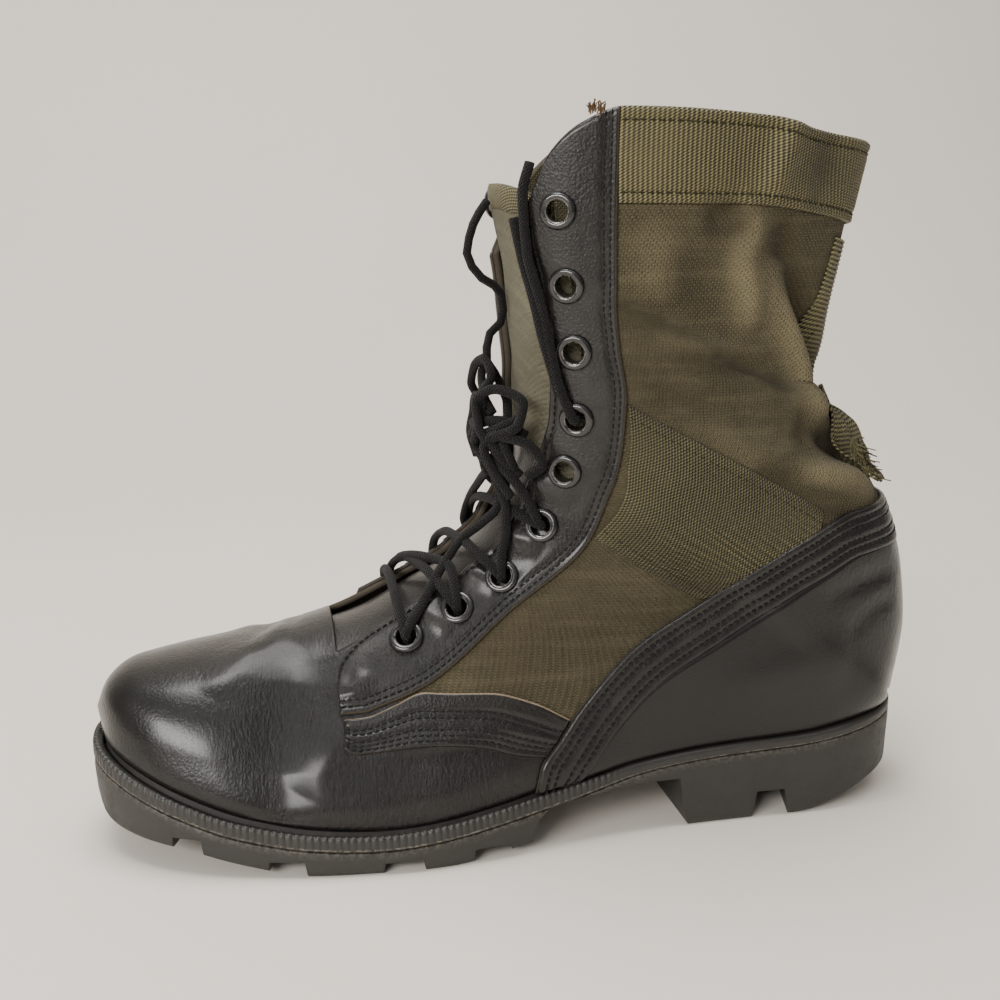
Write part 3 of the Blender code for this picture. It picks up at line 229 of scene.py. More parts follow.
FOLDS = (
    # Vamp: pinch over the ball, ridge and hollow before the facing
    fold(-0.0017, 0.0100, (5.10, -0.90), (5.12, -0.70), (5.16, -0.57), (5.22, -0.40), (5.30, -0.30)),
    fold(-0.0022, 0.0120, (5.15, -0.62), (5.22, -0.45), (5.42, -0.30), (5.70, -0.18)),
    fold(0.0016, 0.0070, (4.15, -0.32), (4.52, -0.20), (4.94, -0.10), (5.30, 0.02)),
    fold(0.0008, 0.0080, (5.38, -0.70), (5.56, -0.60), (5.78, -0.53), (6.00, -0.46)),
    fold(-0.0014, 0.0050, (4.70, -0.12), (4.90, -0.02), (5.00, 0.10), (5.10, 0.25)),
    fold(-0.0016, 0.0080, (5.05, 0.62), (5.20, 0.45), (5.40, 0.28), (5.60, 0.12)),
    fold(0.0012, 0.0080, (4.40, 0.50), (4.60, 0.34), (4.85, 0.20), (5.10, 0.06)),
    fold(-0.0009, 0.0030, (4.95, -0.02), (5.05, 0.06), (5.20, 0.14)),
    fold(-0.0007, 0.0026, (5.35, -0.06), (5.45, 0.03), (5.55, 0.12)),
    # Eyelet facing: puckers between the laced eyelets
    fold(0.0017, 0.0042, (7.45, -0.20), (7.62, -0.26), (7.80, -0.33)),
    fold(0.0017, 0.0042, (8.30, -0.175), (8.55, -0.22), (8.75, -0.29)),
    fold(0.0019, 0.0046, (9.15, -0.150), (9.55, -0.20), (9.85, -0.27)),
    fold(0.0014, 0.0050, (10.7, -0.150), (11.1, -0.20), (11.5, -0.26)),
    fold(-0.0010, 0.0060, (8.60, -0.18), (8.87, -0.24), (9.10, -0.30)),
    fold(-0.0009, 0.0060, (7.80, -0.20), (8.00, -0.26), (8.20, -0.31)),
    fold(0.0016, 0.0044, (7.40, 0.16), (7.60, 0.22), (7.80, 0.29)),
    fold(0.0016, 0.0044, (8.25, 0.15), (8.50, 0.20), (8.70, 0.27)),
    fold(0.0016, 0.0048, (9.20, 0.13), (9.60, 0.18), (9.90, 0.25)),
    fold(0.0009, 0.0035, (6.02, -0.33), (6.10, -0.37), (6.25, -0.38), (6.5, -0.34)),
    # Quarter strip and counter: soft rolls
    fold(0.0010, 0.0030, (6.40, -0.560), (7.20, -0.585), (8.00, -0.620), (8.50, -0.69)),
    fold(-0.0009, 0.0040, (14.3, -0.64), (15.0, -0.70), (15.6, -0.78), (15.9, -0.85)),
    fold(-0.0008, 0.0035, (14.0, -0.70), (14.8, -0.75), (15.3, -0.82)),
    fold(0.0014, 0.0100, (10.0, -0.76), (10.7, -0.72), (11.6, -0.71), (12.6, -0.74)),
    fold(-0.0009, 0.0040, (14.3, 0.66), (15.0, 0.72), (15.6, 0.80)),
    # Shaft, outer side: standing fold under the cuff and the long fold behind it
    fold(0.0055, 0.0060, (22.1, -0.622), (21.76, -0.602), (21.40, -0.594), (20.97, -0.611), (20.4, -0.640)),
    fold(0.0065, 0.0070, (21.6, -0.640), (21.14, -0.682), (20.71, -0.730), (20.21, -0.785), (19.0, -0.735),
         (17.6, -0.650)),
    fold(-0.0075, 0.0060, (21.7, -0.690), (21.23, -0.745), (20.79, -0.812), (20.25, -0.880), (19.5, -0.905)),
    fold(-0.0034, 0.0065, (21.64, -0.520), (21.82, -0.560), (21.95, -0.590)),
    fold(-0.0036, 0.0050, (21.95, -0.660), (21.76, -0.680), (21.5, -0.680)),
    fold(-0.0029, 0.0045, (18.4, -0.440), (19.0, -0.539), (19.76, -0.640), (20.0, -0.730)),
    fold(0.0020, 0.0035, (18.7, -0.400), (19.2, -0.490), (19.97, -0.609), (20.25, -0.690)),
    fold(-0.0018, 0.0050, (16.80, -0.350), (17.07, -0.422), (17.53, -0.492)),
    fold(0.0052, 0.0055, (16.5, -0.600), (17.0, -0.690), (17.25, -0.760), (17.0, -0.830)),
    fold(-0.0073, 0.0062, (18.1, -0.640), (18.34, -0.720), (18.34, -0.800), (18.0, -0.870)),
    fold(-0.0023, 0.0045, (16.2, -0.520), (16.36, -0.589), (16.38, -0.660), (16.3, -0.74)),
    fold(0.0021, 0.0090, (21.4, -0.410), (20.9, -0.449), (20.0, -0.432)),
    fold(-0.0018, 0.0080, (21.4, -0.496), (20.67, -0.523), (19.78, -0.501)),
    fold(0.0018, 0.0060, (16.49, -0.430), (16.42, -0.506), (16.58, -0.594)),
    fold(0.0016, 0.0100, (9.60, -0.40), (10.4, -0.45), (11.6, -0.47)),
    # Shaft, back and inner side
    fold(-0.0039, 0.0060, (20.6, -0.94), (20.6, -1.0)),
    fold(-0.0039, 0.0060, (20.6, 0.94), (20.6, 1.0)),
    fold(0.0047, 0.0070, (21.8, 0.610), (21.2, 0.600), (20.6, 0.640), (19.9, 0.700), (18.8, 0.680)),
    fold(-0.0052, 0.0060, (21.4, 0.740), (20.9, 0.790), (20.3, 0.850), (19.6, 0.900)),
    fold(-0.0031, 0.0050, (18.2, 0.460), (18.9, 0.560), (19.4, 0.660), (19.5, 0.740)),
    fold(0.0044, 0.0060, (16.5, 0.600), (17.0, 0.690), (17.2, 0.760), (17.0, 0.840)),
    fold(-0.0057, 0.0060, (18.0, 0.650), (18.3, 0.730), (18.3, 0.810), (17.9, 0.870)),
    fold(0.0018, 0.0080, (21.2, 0.410), (20.6, 0.440), (19.8, 0.430)),
    # Cuff
    fold(0.0034, 0.0055, (22.95, -0.640), (22.45, -0.628), (22.05, -0.618)),
    fold(-0.0026, 0.0080, (22.90, -0.740), (22.50, -0.740), (22.10, -0.730)),
    fold(-0.0021, 0.0090, (22.80, 0.600), (22.40, 0.600), (22.10, 0.600)),
)

# Places with a strength: flexed leather, and cloth darkened by soil and by painted shade in the hollows of
# its folds
Spot = namedtuple("Spot", "section turn radius amount")
FLEXED = table_of(
    Spot, (5.30, -0.42, 0.026, 0.85), (5.10, -0.15, 0.022, 0.60), (5.10, 0.20, 0.026, 0.65),
    (5.90, -0.64, 0.022, 1.00), (6.60, -0.72, 0.024, 1.00), (7.60, -0.80, 0.022, 0.70),
    (5.40, -0.74, 0.014, 0.80), (6.05, -0.36, 0.013, 1.10), (7.00, -0.30, 0.020, 0.70),
    (8.30, -0.27, 0.022, 0.80), (9.60, -0.24, 0.022, 0.60), (15.0, -0.74, 0.020, 0.60),
    (5.60, 0.62, 0.026, 0.80), (7.80, 0.25, 0.024, 0.70), (15.0, 0.74, 0.020, 0.60))
# Darkened cloth: soiled spots, and painted shade where the spots sit in the hollows of the shaft's folds
SOILED_AND_SHADED = table_of(
    Spot, (8.60, -0.42, 0.022, 0.95), (9.80, -0.50, 0.026, 0.80), (8.70, 0.42, 0.026, 0.90),
    (21.7, -0.56, 0.010, 0.65), (21.75, -0.685, 0.006, 0.85), (20.3, -0.885, 0.010, 0.80),
    (18.3, -0.77, 0.008, 0.80), (22.45, -0.735, 0.011, 0.75), (16.2, -0.33, 0.020, 0.45))

# Front end of the outer facing: where its rounded corner begins at each section
CORNER = table_of(
    Place, (6.00, 0.335), (6.02, 0.312), (6.05, 0.285), (6.17, 0.252), (6.37, 0.226), (6.60, 0.211))

# Section under which the tongue gets the black leather finish, a dark sheet as painted shade in the throat,
# and above which it is cloth
TONGUE_SHADE_TOP = 11.4

# Loose threads: piece, finish, how many, where they root, how far they spread, and how far they reach up
Fray = namedtuple("Fray", "name finish count middle spans reach")
FRAYS = table_of(
    Fray, ("backstay_loose_threads", "frayed_thread", 60, (18.2, -0.870), (0.45, 0.070), -0.0070),
    ("backstay_dark_threads", "black_thread", 14, (18.6, -0.890), (0.50, 0.070), -0.0080),
    ("facing_top_tuft", "brown_fibre", 26, (22.66, -0.316), (0.05, 0.014), 0.0030))


def curve(knots, values, at):
    """Smooth curve through the knots that keeps rises and falls where the values have them.

    values may hold one number per knot, or one array per knot of the shape of at.
    """
    knots = np.asarray(knots, float)
    values = np.asarray(values, float)
    at = np.clip(np.asarray(at, float), knots[0], knots[-1])
    steps = np.diff(knots).reshape((-1,) + (1,) * (values.ndim - 1))
    slopes = np.diff(values, axis=0) / steps
    before, after = slopes[:-1], slopes[1:]
    weight_a = 2 * steps[1:] + steps[:-1]
    weight_b = steps[1:] + 2 * steps[:-1]
    same_way = before * after > 0
    safe_a = np.where(same_way, before, 1.0)
    safe_b = np.where(same_way, after, 1.0)
    inner = np.where(same_way, (weight_a + weight_b) / (weight_a / safe_a + weight_b / safe_b), 0.0)
    tangents = np.concatenate([slopes[:1], inner, slopes[-1:]])
    span = np.clip(np.searchsorted(knots, at, side="right") - 1, 0, len(knots) - 2)
    width = knots[span + 1] - knots[span]
    t = (at - knots[span]) / width

    def pick(table, index):
        if table.ndim == 1:
            return table[index]
        return np.take_along_axis(table, index[None], axis=0)[0]

    start, end = pick(values, span), pick(values, span + 1)
    leave, arrive = pick(tangents, span), pick(tangents, span + 1)
    return ((1 + 2 * t) * (1 - t) ** 2 * start + t * (1 - t) ** 2 * width * leave
            + t * t * (3 - 2 * t) * end + t * t * (t - 1) * width * arrive)


def column(table, name):
    return [getattr(row, name) for row in table]


def roundness(along):
    """Closing of the plan at the toe and at the heel, 0 at the tips and 1 between."""
    toe = np.clip(1 - along / TOE_ROUND, 0, 1)
    heel = np.clip(1 - (1 - along) / HEEL_ROUND, 0, 1)
    toe_close = (1 - toe ** TOE_POWER) ** (1 / TOE_POWER)
    return toe_close * (1 - heel ** HEEL_POWER) ** (1 / HEEL_POWER)


def half_width(x, side, inset):
    """Half width of the sole's plan, set in by inset all round. side is -1 lateral, 1 medial."""
    along = np.clip((np.asarray(x, float) - TOE_X - inset) / (LENGTH - 2 * inset), 0, 1)
    shares = curve(column(PLAN, "along"), column(PLAN, "lateral" if side < 0 else "medial"), along)
    return (shares * BALL_WIDTH - inset) * roundness(along)


def side_height(x, name, inset):
    """Height of the seat or tread line over the floor at x, for a plan set in by inset."""
    along = (np.asarray(x, float) - TOE_X - inset) / (LENGTH - 2 * inset)
    return curve(column(SIDE, "along"), column(SIDE, name), along) * HEEL_HEIGHT


def section_lines(p):
    """Front point, back point and ridge shift of section p, which may be a fraction."""
    rows = np.arange(len(SECTIONS))
    front_x = TOE_X + curve(rows, column(SECTIONS, "front"), p) * LENGTH
    front_z = side_height(front_x, "seat", WELT_WIDTH) + curve(rows, column(SECTIONS, "rise"), p) * UPPER_RISE
    back_x = TOE_X + WELT_WIDTH + curve(rows, column(SECTIONS, "back"), p) * (LENGTH - 2 * WELT_WIDTH)
    rises = [0.0 if row.back_rise is None else row.back_rise for row in SECTIONS]
    back_z = side_height(back_x, "seat", WELT_WIDTH) + GAP + curve(rows, rises, p) * UPPER_RISE
    ridge = curve(rows, column(SECTIONS, "ridge"), p) * BALL_WIDTH
    return front_x, front_z, back_x, back_z, ridge


def section_width(p, turn, side):
    """Half width of the upper's form at section p and turn, from the ridge line."""
    rows = np.arange(len(SECTIONS))
    table = np.array(column(SECTIONS, "lateral" if side < 0 else "medial"))
    back_x = section_lines(p)[2]
    along = np.clip((back_x - TOE_X - WELT_WIDTH) / (LENGTH - 2 * WELT_WIDTH), 0, 0.5)
    closing = roundness(along)
    widths = [np.zeros_like(p)]
    for share in table.T:
        widths.append(curve(rows, share, p) * BALL_WIDTH * closing)
    at_seat = np.where(p < LAST_FEATHER, half_width(back_x, side, WELT_WIDTH), 0.0)
    widths.append(at_seat)
    return curve(TURNS, np.array(widths), turn)


def form(p, turn, side):
    """Point on the upper's outer form. turn runs from 0 on the front line to 1 at the seat."""
    p, turn = np.broadcast_arrays(np.asarray(p, float), np.asarray(turn, float))
    front_x, front_z, back_x, back_z, ridge = section_lines(p)
    share = np.sin(0.5 * np.pi * turn) ** 2
    x = front_x + (back_x - front_x) * share
    z = front_z + (back_z - front_z) * share
    y = ridge * (1 - share) + side * section_width(p, turn, side)
    return np.stack([x, y, z], axis=-1)


def halved(low, high, under, steps=40):
    """Halve the span between low and high, towards where the test under stops holding."""
    for _ in range(steps):
        middle = 0.5 * (low + high)
        held = under(middle)
        low, high = np.where(held, middle, low), np.where(held, high, middle)
    return low, high


def turn_at_width(p, width, side):
    """Turn at which the form is width away from its ridge, near the front line."""
    low, high = halved(np.zeros_like(p), np.full_like(p, 0.45),
                       lambda turn: section_width(p, turn, side) < width)
    return 0.5 * (low + high)


def throat_turn(p, side):
    """Turn of the throat's edge at section p. Over the toe it keeps the value of the foot."""
    at = np.maximum(np.asarray(p, float), THROAT)
    shares = curve(column(THROAT_GAPS, "section"),
                   column(THROAT_GAPS, "lateral" if side < 0 else "medial"), at)
    return turn_at_width(at, shares * BALL_WIDTH, side)


def collar_height(x, side):
    along = (np.asarray(x, float) - TOE_X) / LENGTH
    rise = curve(column(COLLAR, "along"), column(COLLAR, "lateral" if side < 0 else "medial"), along)
    return HEEL_HEIGHT + rise * UPPER_RISE


def collar_section(turn, side):
    """Section number at which the form meets the collar line, for each turn."""
    def under(section):
        point = form(section, turn, side)
        return point[..., 2] < collar_height(point[..., 0], side)

    low, high = halved(np.full_like(turn, 17.0), np.full_like(turn, float(TOP)), under)
    return 0.5 * (low + high)


def side_line(table):
    return np.array([(TOE_X + row.along * LENGTH, row.height * SHAFT_HEIGHT) for row in table])


def smooth(table, count):
    """Evenly spaced points of a smooth line through a table's points."""
    line = side_line(table)
    runs = lengths(line)
    at = np.linspace(0, runs[-1], count)
    return np.stack([curve(runs, line[:, 0], at), curve(runs, line[:, 1], at)], axis=-1)


def beside(line, distance):
    """Line moved to the left of its own direction."""
    run = np.gradient(line, axis=0)
    left = np.stack([-run[:, 1], run[:, 0]], axis=-1)
    return line + left / np.linalg.norm(left, axis=1, keepdims=True) * distance


def lengths(points):
    """Length run so far at each point of a line."""
    steps = np.linalg.norm(np.diff(points, axis=0), axis=1)
    return np.concatenate([[0.0], np.cumsum(steps)])


def even(points, count):
    """Evenly spaced points along a line."""
    runs = lengths(points)
    at = np.linspace(0, runs[-1], count)
    return np.stack([np.interp(at, runs, points[:, k]) for k in range(points.shape[1])], axis=-1)


def rounded(path, count):
    """Evenly spaced points of a smooth curve through a path's points."""
    path = np.array(path, float)
    runs = lengths(path)
    at = np.linspace(0, runs[-1], count)
    return np.stack([curve(runs, path[:, k], at) for k in range(path.shape[1])], axis=-1)


def unit(vectors):
    sizes = np.linalg.norm(vectors, axis=-1, keepdims=True)
    return vectors / np.where(sizes > 0, sizes, 1.0)


def unfold(x, z):
    """Section, turn and unclipped share of the form under points of the side view."""
    def past(section):
        front_x, front_z, back_x, back_z, _ = section_lines(section)
        return (back_x - front_x) * (z - front_z) - (back_z - front_z) * (x - front_x) > 0

    low, _ = halved(np.zeros_like(x), np.full_like(x, float(TOP)), past)
    front_x, front_z, back_x, back_z, _ = section_lines(low)
    run_x, run_z = back_x - front_x, back_z - front_z
    share = ((x - front_x) * run_x + (z - front_z) * run_z) / (run_x ** 2 + run_z ** 2)
    turn = 2 / np.pi * np.arcsin(np.sqrt(np.clip(share, 0, 1)))
    return low, turn, share


def surface(section, turn):
    """Points of the form and outward normals."""
    section, turn = np.broadcast_arrays(np.asarray(section, float), np.asarray(turn, float))
    size = np.abs(turn)
    before, after = np.clip(section - 0.04, 0, TOP), np.clip(section + 0.04, 0, TOP)
    near, far = np.clip(size - 0.004, 0, 1), np.clip(size + 0.004, 0, 1)
    front_x, front_z, back_x, back_z, ridge = section_lines(section)
    slope = 0.5 * np.pi * np.sin(np.pi * size)
    points, normals = [], []
    for side in (-1, 1):
        points.append(form(section, size, side))
        along = form(after, size, side) - form(before, size, side)
        width = (section_width(section, far, side) - section_width(section, near, side)) / (far - near)
        around = np.stack([(back_x - front_x) * slope, side * width - ridge * slope,
                           (back_z - front_z) * slope], axis=-1)
        normals.append(unit(np.cross(along, around) * side))
    outer = (turn < 0)[..., None]
    return np.where(outer, points[0], points[1]), np.where(outer, normals[0], normals[1])


@lru_cache(maxsize=None)
def fold_lines():
    """Every fold with the line it follows on the form."""
    lines = []
    for crease in FOLDS:
        path = rounded([tuple(place) for place in crease.path], 4 * len(crease.path))
        lines.append((crease, surface(path[:, 0], path[:, 1])[0]))
    return lines


def relief(points):
    """Depth of the folds and creases over points of the form, ridges positive."""
    flat = points.reshape(-1, 3)
    total = np.zeros(len(flat))
    for fold, line in fold_lines():
        reach = 2.6 * fold.width
        near = np.where(((flat > line.min(0) - reach) & (flat < line.max(0) + reach)).all(axis=1))[0]
        if not len(near):
            continue
        spot = flat[near]
        best, at = np.full(len(near), np.inf), np.zeros(len(near))
        for number, (start, end) in enumerate(zip(line, line[1:])):
            run = end - start
            share = np.clip((spot - start) @ run / max(run @ run, 1e-12), 0, 1)
            away = np.linalg.norm(spot - start - share[:, None] * run, axis=1)
            closer = away < best
            best = np.where(closer, away, best)
            at = np.where(closer, number + share, at)
        along = at / (len(line) - 1)
        taper = 1 - np.abs(2 * along - 1) ** 3
        total[near] += fold.depth * taper * np.exp(-(best / fold.width) ** 2)
    return total.reshape(points.shape[:-1])


def over(section, turn, lift):
    """One point lifted off the plain form, and the ridge taken straight up."""
    size = max(abs(turn), 0.021)
    points, normals = surface(section, -size if turn < 0 else size)
    if abs(turn) < 0.021:
        normals = unit(normals * (1, 0, 1))
        points = form(section, 0.0, 1)
    return points + normals * lift


@lru_cache(maxsize=None)
def eyelet_turn(section, side):
    """Turn at which an eyelet stands its setback behind the throat's edge."""
    edge = throat_turn(section, side)
    start = form(section, edge, side)
    low, high = halved(float(edge), 0.6,
                       lambda turn: np.linalg.norm(form(section, turn, side) - start) < EYELET_SETBACK)
    return 0.5 * (low + high)


@lru_cache(maxsize=None)
def eyelet_place(section, side):
    """Middle of an eyelet on the form, its normal, and a direction up the boot."""
    turn = side * eyelet_turn(section, side)
    point, normal = surface(section, turn)
    along = surface(section + 0.05, turn)[0] - point
    across = unit(np.cross(normal, along))
    return point, normal, np.cross(across, normal), turn


def edge_of(line, side, count):
    """Section and turn evenly along a side-view line, up to the back of the boot."""
    dense = even(line, 700)
    section, turn, share = unfold(dense[:, 0], dense[:, 1])
    past = np.where(share >= 1)[0]
    past = past[past > len(dense) // 3]
    if len(past):
        section, turn = section[:past[0] + 1], turn[:past[0] + 1]
        turn[-1] = 1.0
    places = np.stack([section, side * turn], axis=-1)
    runs = lengths(surface(section, side * turn)[0])
    at = np.linspace(0, runs[-1], count)
    return np.stack([np.interp(at, runs, places[:, k]) for k in (0, 1)], axis=-1)


def spread(first, second, shares):
    """Grid of sections and turns between two edges."""
    shares = np.asarray(shares)[None, :, None]
    return first[:, None] * (1 - shares) + second[:, None] * shares


def outward(mesh):
    """Turn every face of a closed mesh outward."""
    work = bmesh.new()
    work.from_mesh(mesh)
    bmesh.ops.recalc_face_normals(work, faces=work.faces)
    work.to_mesh(mesh)
    work.free()


def link(name, mesh, materials, node=()):
    """Object of a mesh that rides on the boot and stands for CAD nodes."""
    for material in materials:
        mesh.materials.append(material)
    mesh.shade_smooth()
    made = bpy.data.objects.new(name, mesh)
    bpy.context.scene.collection.objects.link(made)
    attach(made, "root")
    if node:
        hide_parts(*node)
    return made


def mesh_of(name, points, faces, uv=None, merge=0.0, slots=None, weights=None):
    """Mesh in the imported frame, with per-point texture places and weights."""
    mesh = bpy.data.meshes.new(name)
    faces = faces.tolist() if isinstance(faces, np.ndarray) else [tuple(map(int, face)) for face in faces]
    mesh.from_pydata((np.asarray(points) - CENTRE).tolist(), [], faces)
    if slots is not None:
        mesh.polygons.foreach_set("material_index", np.asarray(slots, np.int32))
    if uv is not None:
        layer = mesh.uv_layers.new(name="cloth")
        corners = np.zeros(len(mesh.loops), np.int32)
        mesh.loops.foreach_get("vertex_index", corners)
        layer.data.foreach_set("uv", np.asarray(uv, np.float32)[corners].ravel())
    for key, values in (weights or {}).items():
        layer = mesh.attributes.new(key, "FLOAT", "POINT")
        layer.data.foreach_set("value", np.asarray(values, np.float32).ravel())
    if merge:
        work = bmesh.new()
        work.from_mesh(mesh)
        bmesh.ops.remove_doubles(work, verts=work.verts, dist=merge)
        work.to_mesh(mesh)
        work.free()
    mesh.update()
    return mesh


def walled(name, outer, inner, keep=None, uv=None, slots=None, inner_slot=0, rim_slot=0, weights=None,
           flip=False, merge=1e-6, seam_rows=None, toe_row=False):
    """Closed wall between two equal grids of points, over the cells that are kept.

    seam_rows are rows whose first and last points meet, and toe_row says that the first row's do.
    """
    rows, columns = outer.shape[:2]
    if keep is None:
        keep = np.ones((rows - 1, columns - 1), bool)
    ids = np.arange(rows * columns).reshape(rows, columns)
    under = rows * columns
    a, b, c, d = ids[:-1, :-1], ids[1:, :-1], ids[1:, 1:], ids[:-1, 1:]
    skin = np.stack([a, b, c, d], axis=-1)
    faces = [skin[keep], (skin + under)[keep][:, ::-1]]
    cell_slots = np.zeros(keep.shape, int) if slots is None else slots
    face_slots = [cell_slots[keep], np.full(keep.sum(), inner_slot)]
    padded = np.pad(keep, 1)
    if seam_rows is not None:
        padded[1:-1, 0] |= seam_rows
        padded[1:-1, -1] |= seam_rows
    padded[0] |= toe_row
    for row_step, column_step, first, second in (
            (-1, 0, d, a), (1, 0, b, c), (0, -1, a, b), (0, 1, c, d)):
        neighbour = padded[1 + row_step:rows + row_step, 1 + column_step:columns + column_step]
        border = keep & ~neighbour
        walls = np.stack([second, first, first + under, second + under], axis=-1)[border]
        faces.append(walls)
        face_slots.append(np.full(len(walls), rim_slot))
    faces = np.concatenate(faces)
    if flip:
        faces = faces[:, ::-1]
    points = np.concatenate([outer.reshape(-1, 3), inner.reshape(-1, 3)])
    used = np.zeros(len(points), bool)
    used[faces.ravel()] = True
    number = np.cumsum(used) - 1
    both = {key: np.tile(np.broadcast_to(value, (rows, columns)).ravel(), 2)[used]
            for key, value in (weights or {}).items()}
    flat = None if uv is None else np.tile(uv.reshape(-1, 2), (2, 1))[used]
    return mesh_of(name, points[used], number[faces], flat, merge, np.concatenate(face_slots), both)


def border_distance(grid_points):
    """Distance of each point of a grid to its nearest border, and to each of its four borders."""
    across = np.linalg.norm(np.diff(grid_points, axis=1), axis=2)
    across = np.concatenate([np.zeros((len(across), 1)), np.cumsum(across, axis=1)], axis=1)
    along = np.linalg.norm(np.diff(grid_points, axis=0), axis=2)
    along = np.concatenate([np.zeros((1, along.shape[1])), np.cumsum(along, axis=0)], axis=0)
    return across, across[:, -1:] - across, along, along[-1:] - along


def fade(distance, reach):
    """Rounded shoulder of a cut edge: 0 at the edge and 1 from reach on."""
    share = np.clip(distance / reach, 0, 1)
    return np.sqrt(np.clip(1 - (1 - share) ** 2, 0, 1))


def inside(line, x, z):
    """Whether points of the side view lie inside a closed outline."""
    within = np.zeros(x.shape, bool)
    for (x0, z0), (x1, z1) in zip(line, np.roll(line, -1, axis=0)):
        if z0 == z1:
            continue
        crosses = (z0 > z) != (z1 > z)
        within ^= crosses & (x < x0 + (z - z0) / (z1 - z0) * (x1 - x0))
    return within


def put(tree, kind, inputs=None, output=0, **settings):
    """Add a shader node, set it, and join or fill its inputs. Returns one of its outputs."""
    made = tree.nodes.new(kind)
    for key, value in settings.items():
        setattr(made, key, value)
    for key, value in (inputs or {}).items():
        if isinstance(value, Signal):
            tree.links.new(value.socket, made.inputs[key])
        else:
            made.inputs[key].default_value = value
    return Signal(tree, made.outputs[output])


class Signal:
    """Output of a shader node, and the sums that can be made of it"""

    def __init__(self, tree, socket):
        self.tree = tree
        self.socket = socket

    def reckon(self, operation, other=0.0):
        return put(self.tree, "ShaderNodeMath", {0: self, 1: other}, operation=operation)

    def __add__(self, other):
        return self.reckon("ADD", other)

    def __sub__(self, other):
        return self.reckon("SUBTRACT", other)

    def __mul__(self, other):
        return self.reckon("MULTIPLY", other)

    def step(self, low, high, to_low=0.0, to_high=1.0):
        """Smooth step of the value from low to high."""
        spans = {"Value": self, "From Min": low, "From Max": high, "To Min": to_low, "To Max": to_high}
        return put(self.tree, "ShaderNodeMapRange", spans, interpolation_type="SMOOTHSTEP")


class Finish:
    """Material put together from noises, mixes over a base colour, and bumps"""

    def __init__(self, name, base, roughness, constants):
        self.material = bpy.data.materials.new(name)
        self.material.use_nodes = True
        self.tree = self.material.node_tree
        self.inputs = self.tree.nodes["Principled BSDF"].inputs
        for key, value in {"Roughness": roughness, **constants}.items():
            self.inputs[key].default_value = value
        self.place = self.node("ShaderNodeTexCoord", output="Object")
        self.base = colour(*base)
        self.normal = None

    def node(self, kind, inputs=None, output=0, **settings):
        return put(self.tree, kind, inputs, output, **settings)

    def noise(self, scale, detail=3.0, roughness=0.5, stretch=(1, 1, 1), turn=(0, 0, 0), place=None):
        """Noise from 0 to 1 at a scale in cells per metre."""
        placing = {"Vector": place or self.place, "Scale": stretch, "Rotation": turn}
        moved = self.node("ShaderNodeMapping", placing)
        fineness = {"Scale": scale, "Detail": detail, "Roughness": roughness}
        return self.node("ShaderNodeTexNoise", {"Vector": moved, **fineness}, "Fac")

    def weight(self, name):
        return self.node("ShaderNodeAttribute", None, "Fac", attribute_name=name)

    def cloth(self):
        return self.node("ShaderNodeUVMap", uv_map="cloth")

    def split(self, vector):
        """First and second part of a vector."""
        return [self.node("ShaderNodeSeparateXYZ", {0: vector}, part) for part in (0, 1)]

    def mix(self, factor, tint):
        """Lay a colour over the base by a factor."""
        layers = {0: factor, 6: self.base, 7: colour(*tint)}
        self.base = self.node("ShaderNodeMix", layers, 2, data_type="RGBA")

    def bump(self, height, distance, strength=1.0):
        """Raise the surface by a height over what is raised already."""
        inputs = {"Height": height, "Distance": distance, "Strength": strength}
        if self.normal:
            inputs["Normal"] = self.normal
        self.normal = self.node("ShaderNodeBump", inputs)

    def made(self, **others):
        """Join the base, the bumps and other signals to the shader."""
        signals = {"Base Color": self.base, "Normal": self.normal, **others}
        for key, signal in signals.items():
            if signal:
                self.tree.links.new(signal.socket, self.inputs[key])
        return self.material


def colour(red, green, blue):
    return (red, green, blue, 1.0)


def toned(tint, strength):
    """Colour with its parts scaled."""
    return tuple(strength * part for part in tint)


def leather_shade(name, looks, gloss, grain, dust):
    """Polished black leather: pebble grain, flex wrinkles, cloudy polish, dust and rubbed edges."""
    hide = Finish(name, looks.leather, gloss, {"Coat Weight": looks.polish, "Coat Roughness": 0.20,
                                               "Specular IOR Level": 0.30})
    cloud = hide.noise(26, 4, 0.6)
    pores = hide.node("ShaderNodeTexVoronoi", {"Vector": hide.place, "Scale": 1150.0, "Randomness": 0.95},
                      "Distance", feature="SMOOTH_F1")
    flex = hide.weight("flex")
    fine = hide.noise(420, 5, 0.62, (2.6, 1, 0.55))
    crossing = hide.noise(300, 4, 0.6, (1.8, 1.0, 1.2), (0.3, 0.7, 0.4))
    hide.bump((fine + crossing) * flex, 0.0011, 0.9)
    hide.bump(pores * -1.0, 0.00028 * grain, 0.8)
    hide.bump(hide.noise(2400, 4, 0.6), 0.00010 * grain, 0.9)
    scuff = hide.noise(620, 6, 0.75, (1, 1, 2.4)).step(0.60, 0.74)
    dusty = hide.noise(90, 5, 0.7).step(0.35, 0.75)
    lint = hide.noise(1500, 2, 0.5, (1, 1, 0.25)).step(0.735, 0.78)
    hide.mix(cloud, toned(looks.leather, 0.62))
    hide.mix(dusty * dust, (0.040, 0.034, 0.028))
    hide.mix(scuff * (hide.weight("edge") * 0.7), (0.13, 0.11, 0.085))
    hide.mix(lint * (0.30 * dust + 0.02), (0.16, 0.15, 0.13))
    return hide.made(Roughness=cloud * 0.16 + (gloss - 0.06) + dusty * 0.10 + flex * -0.05)


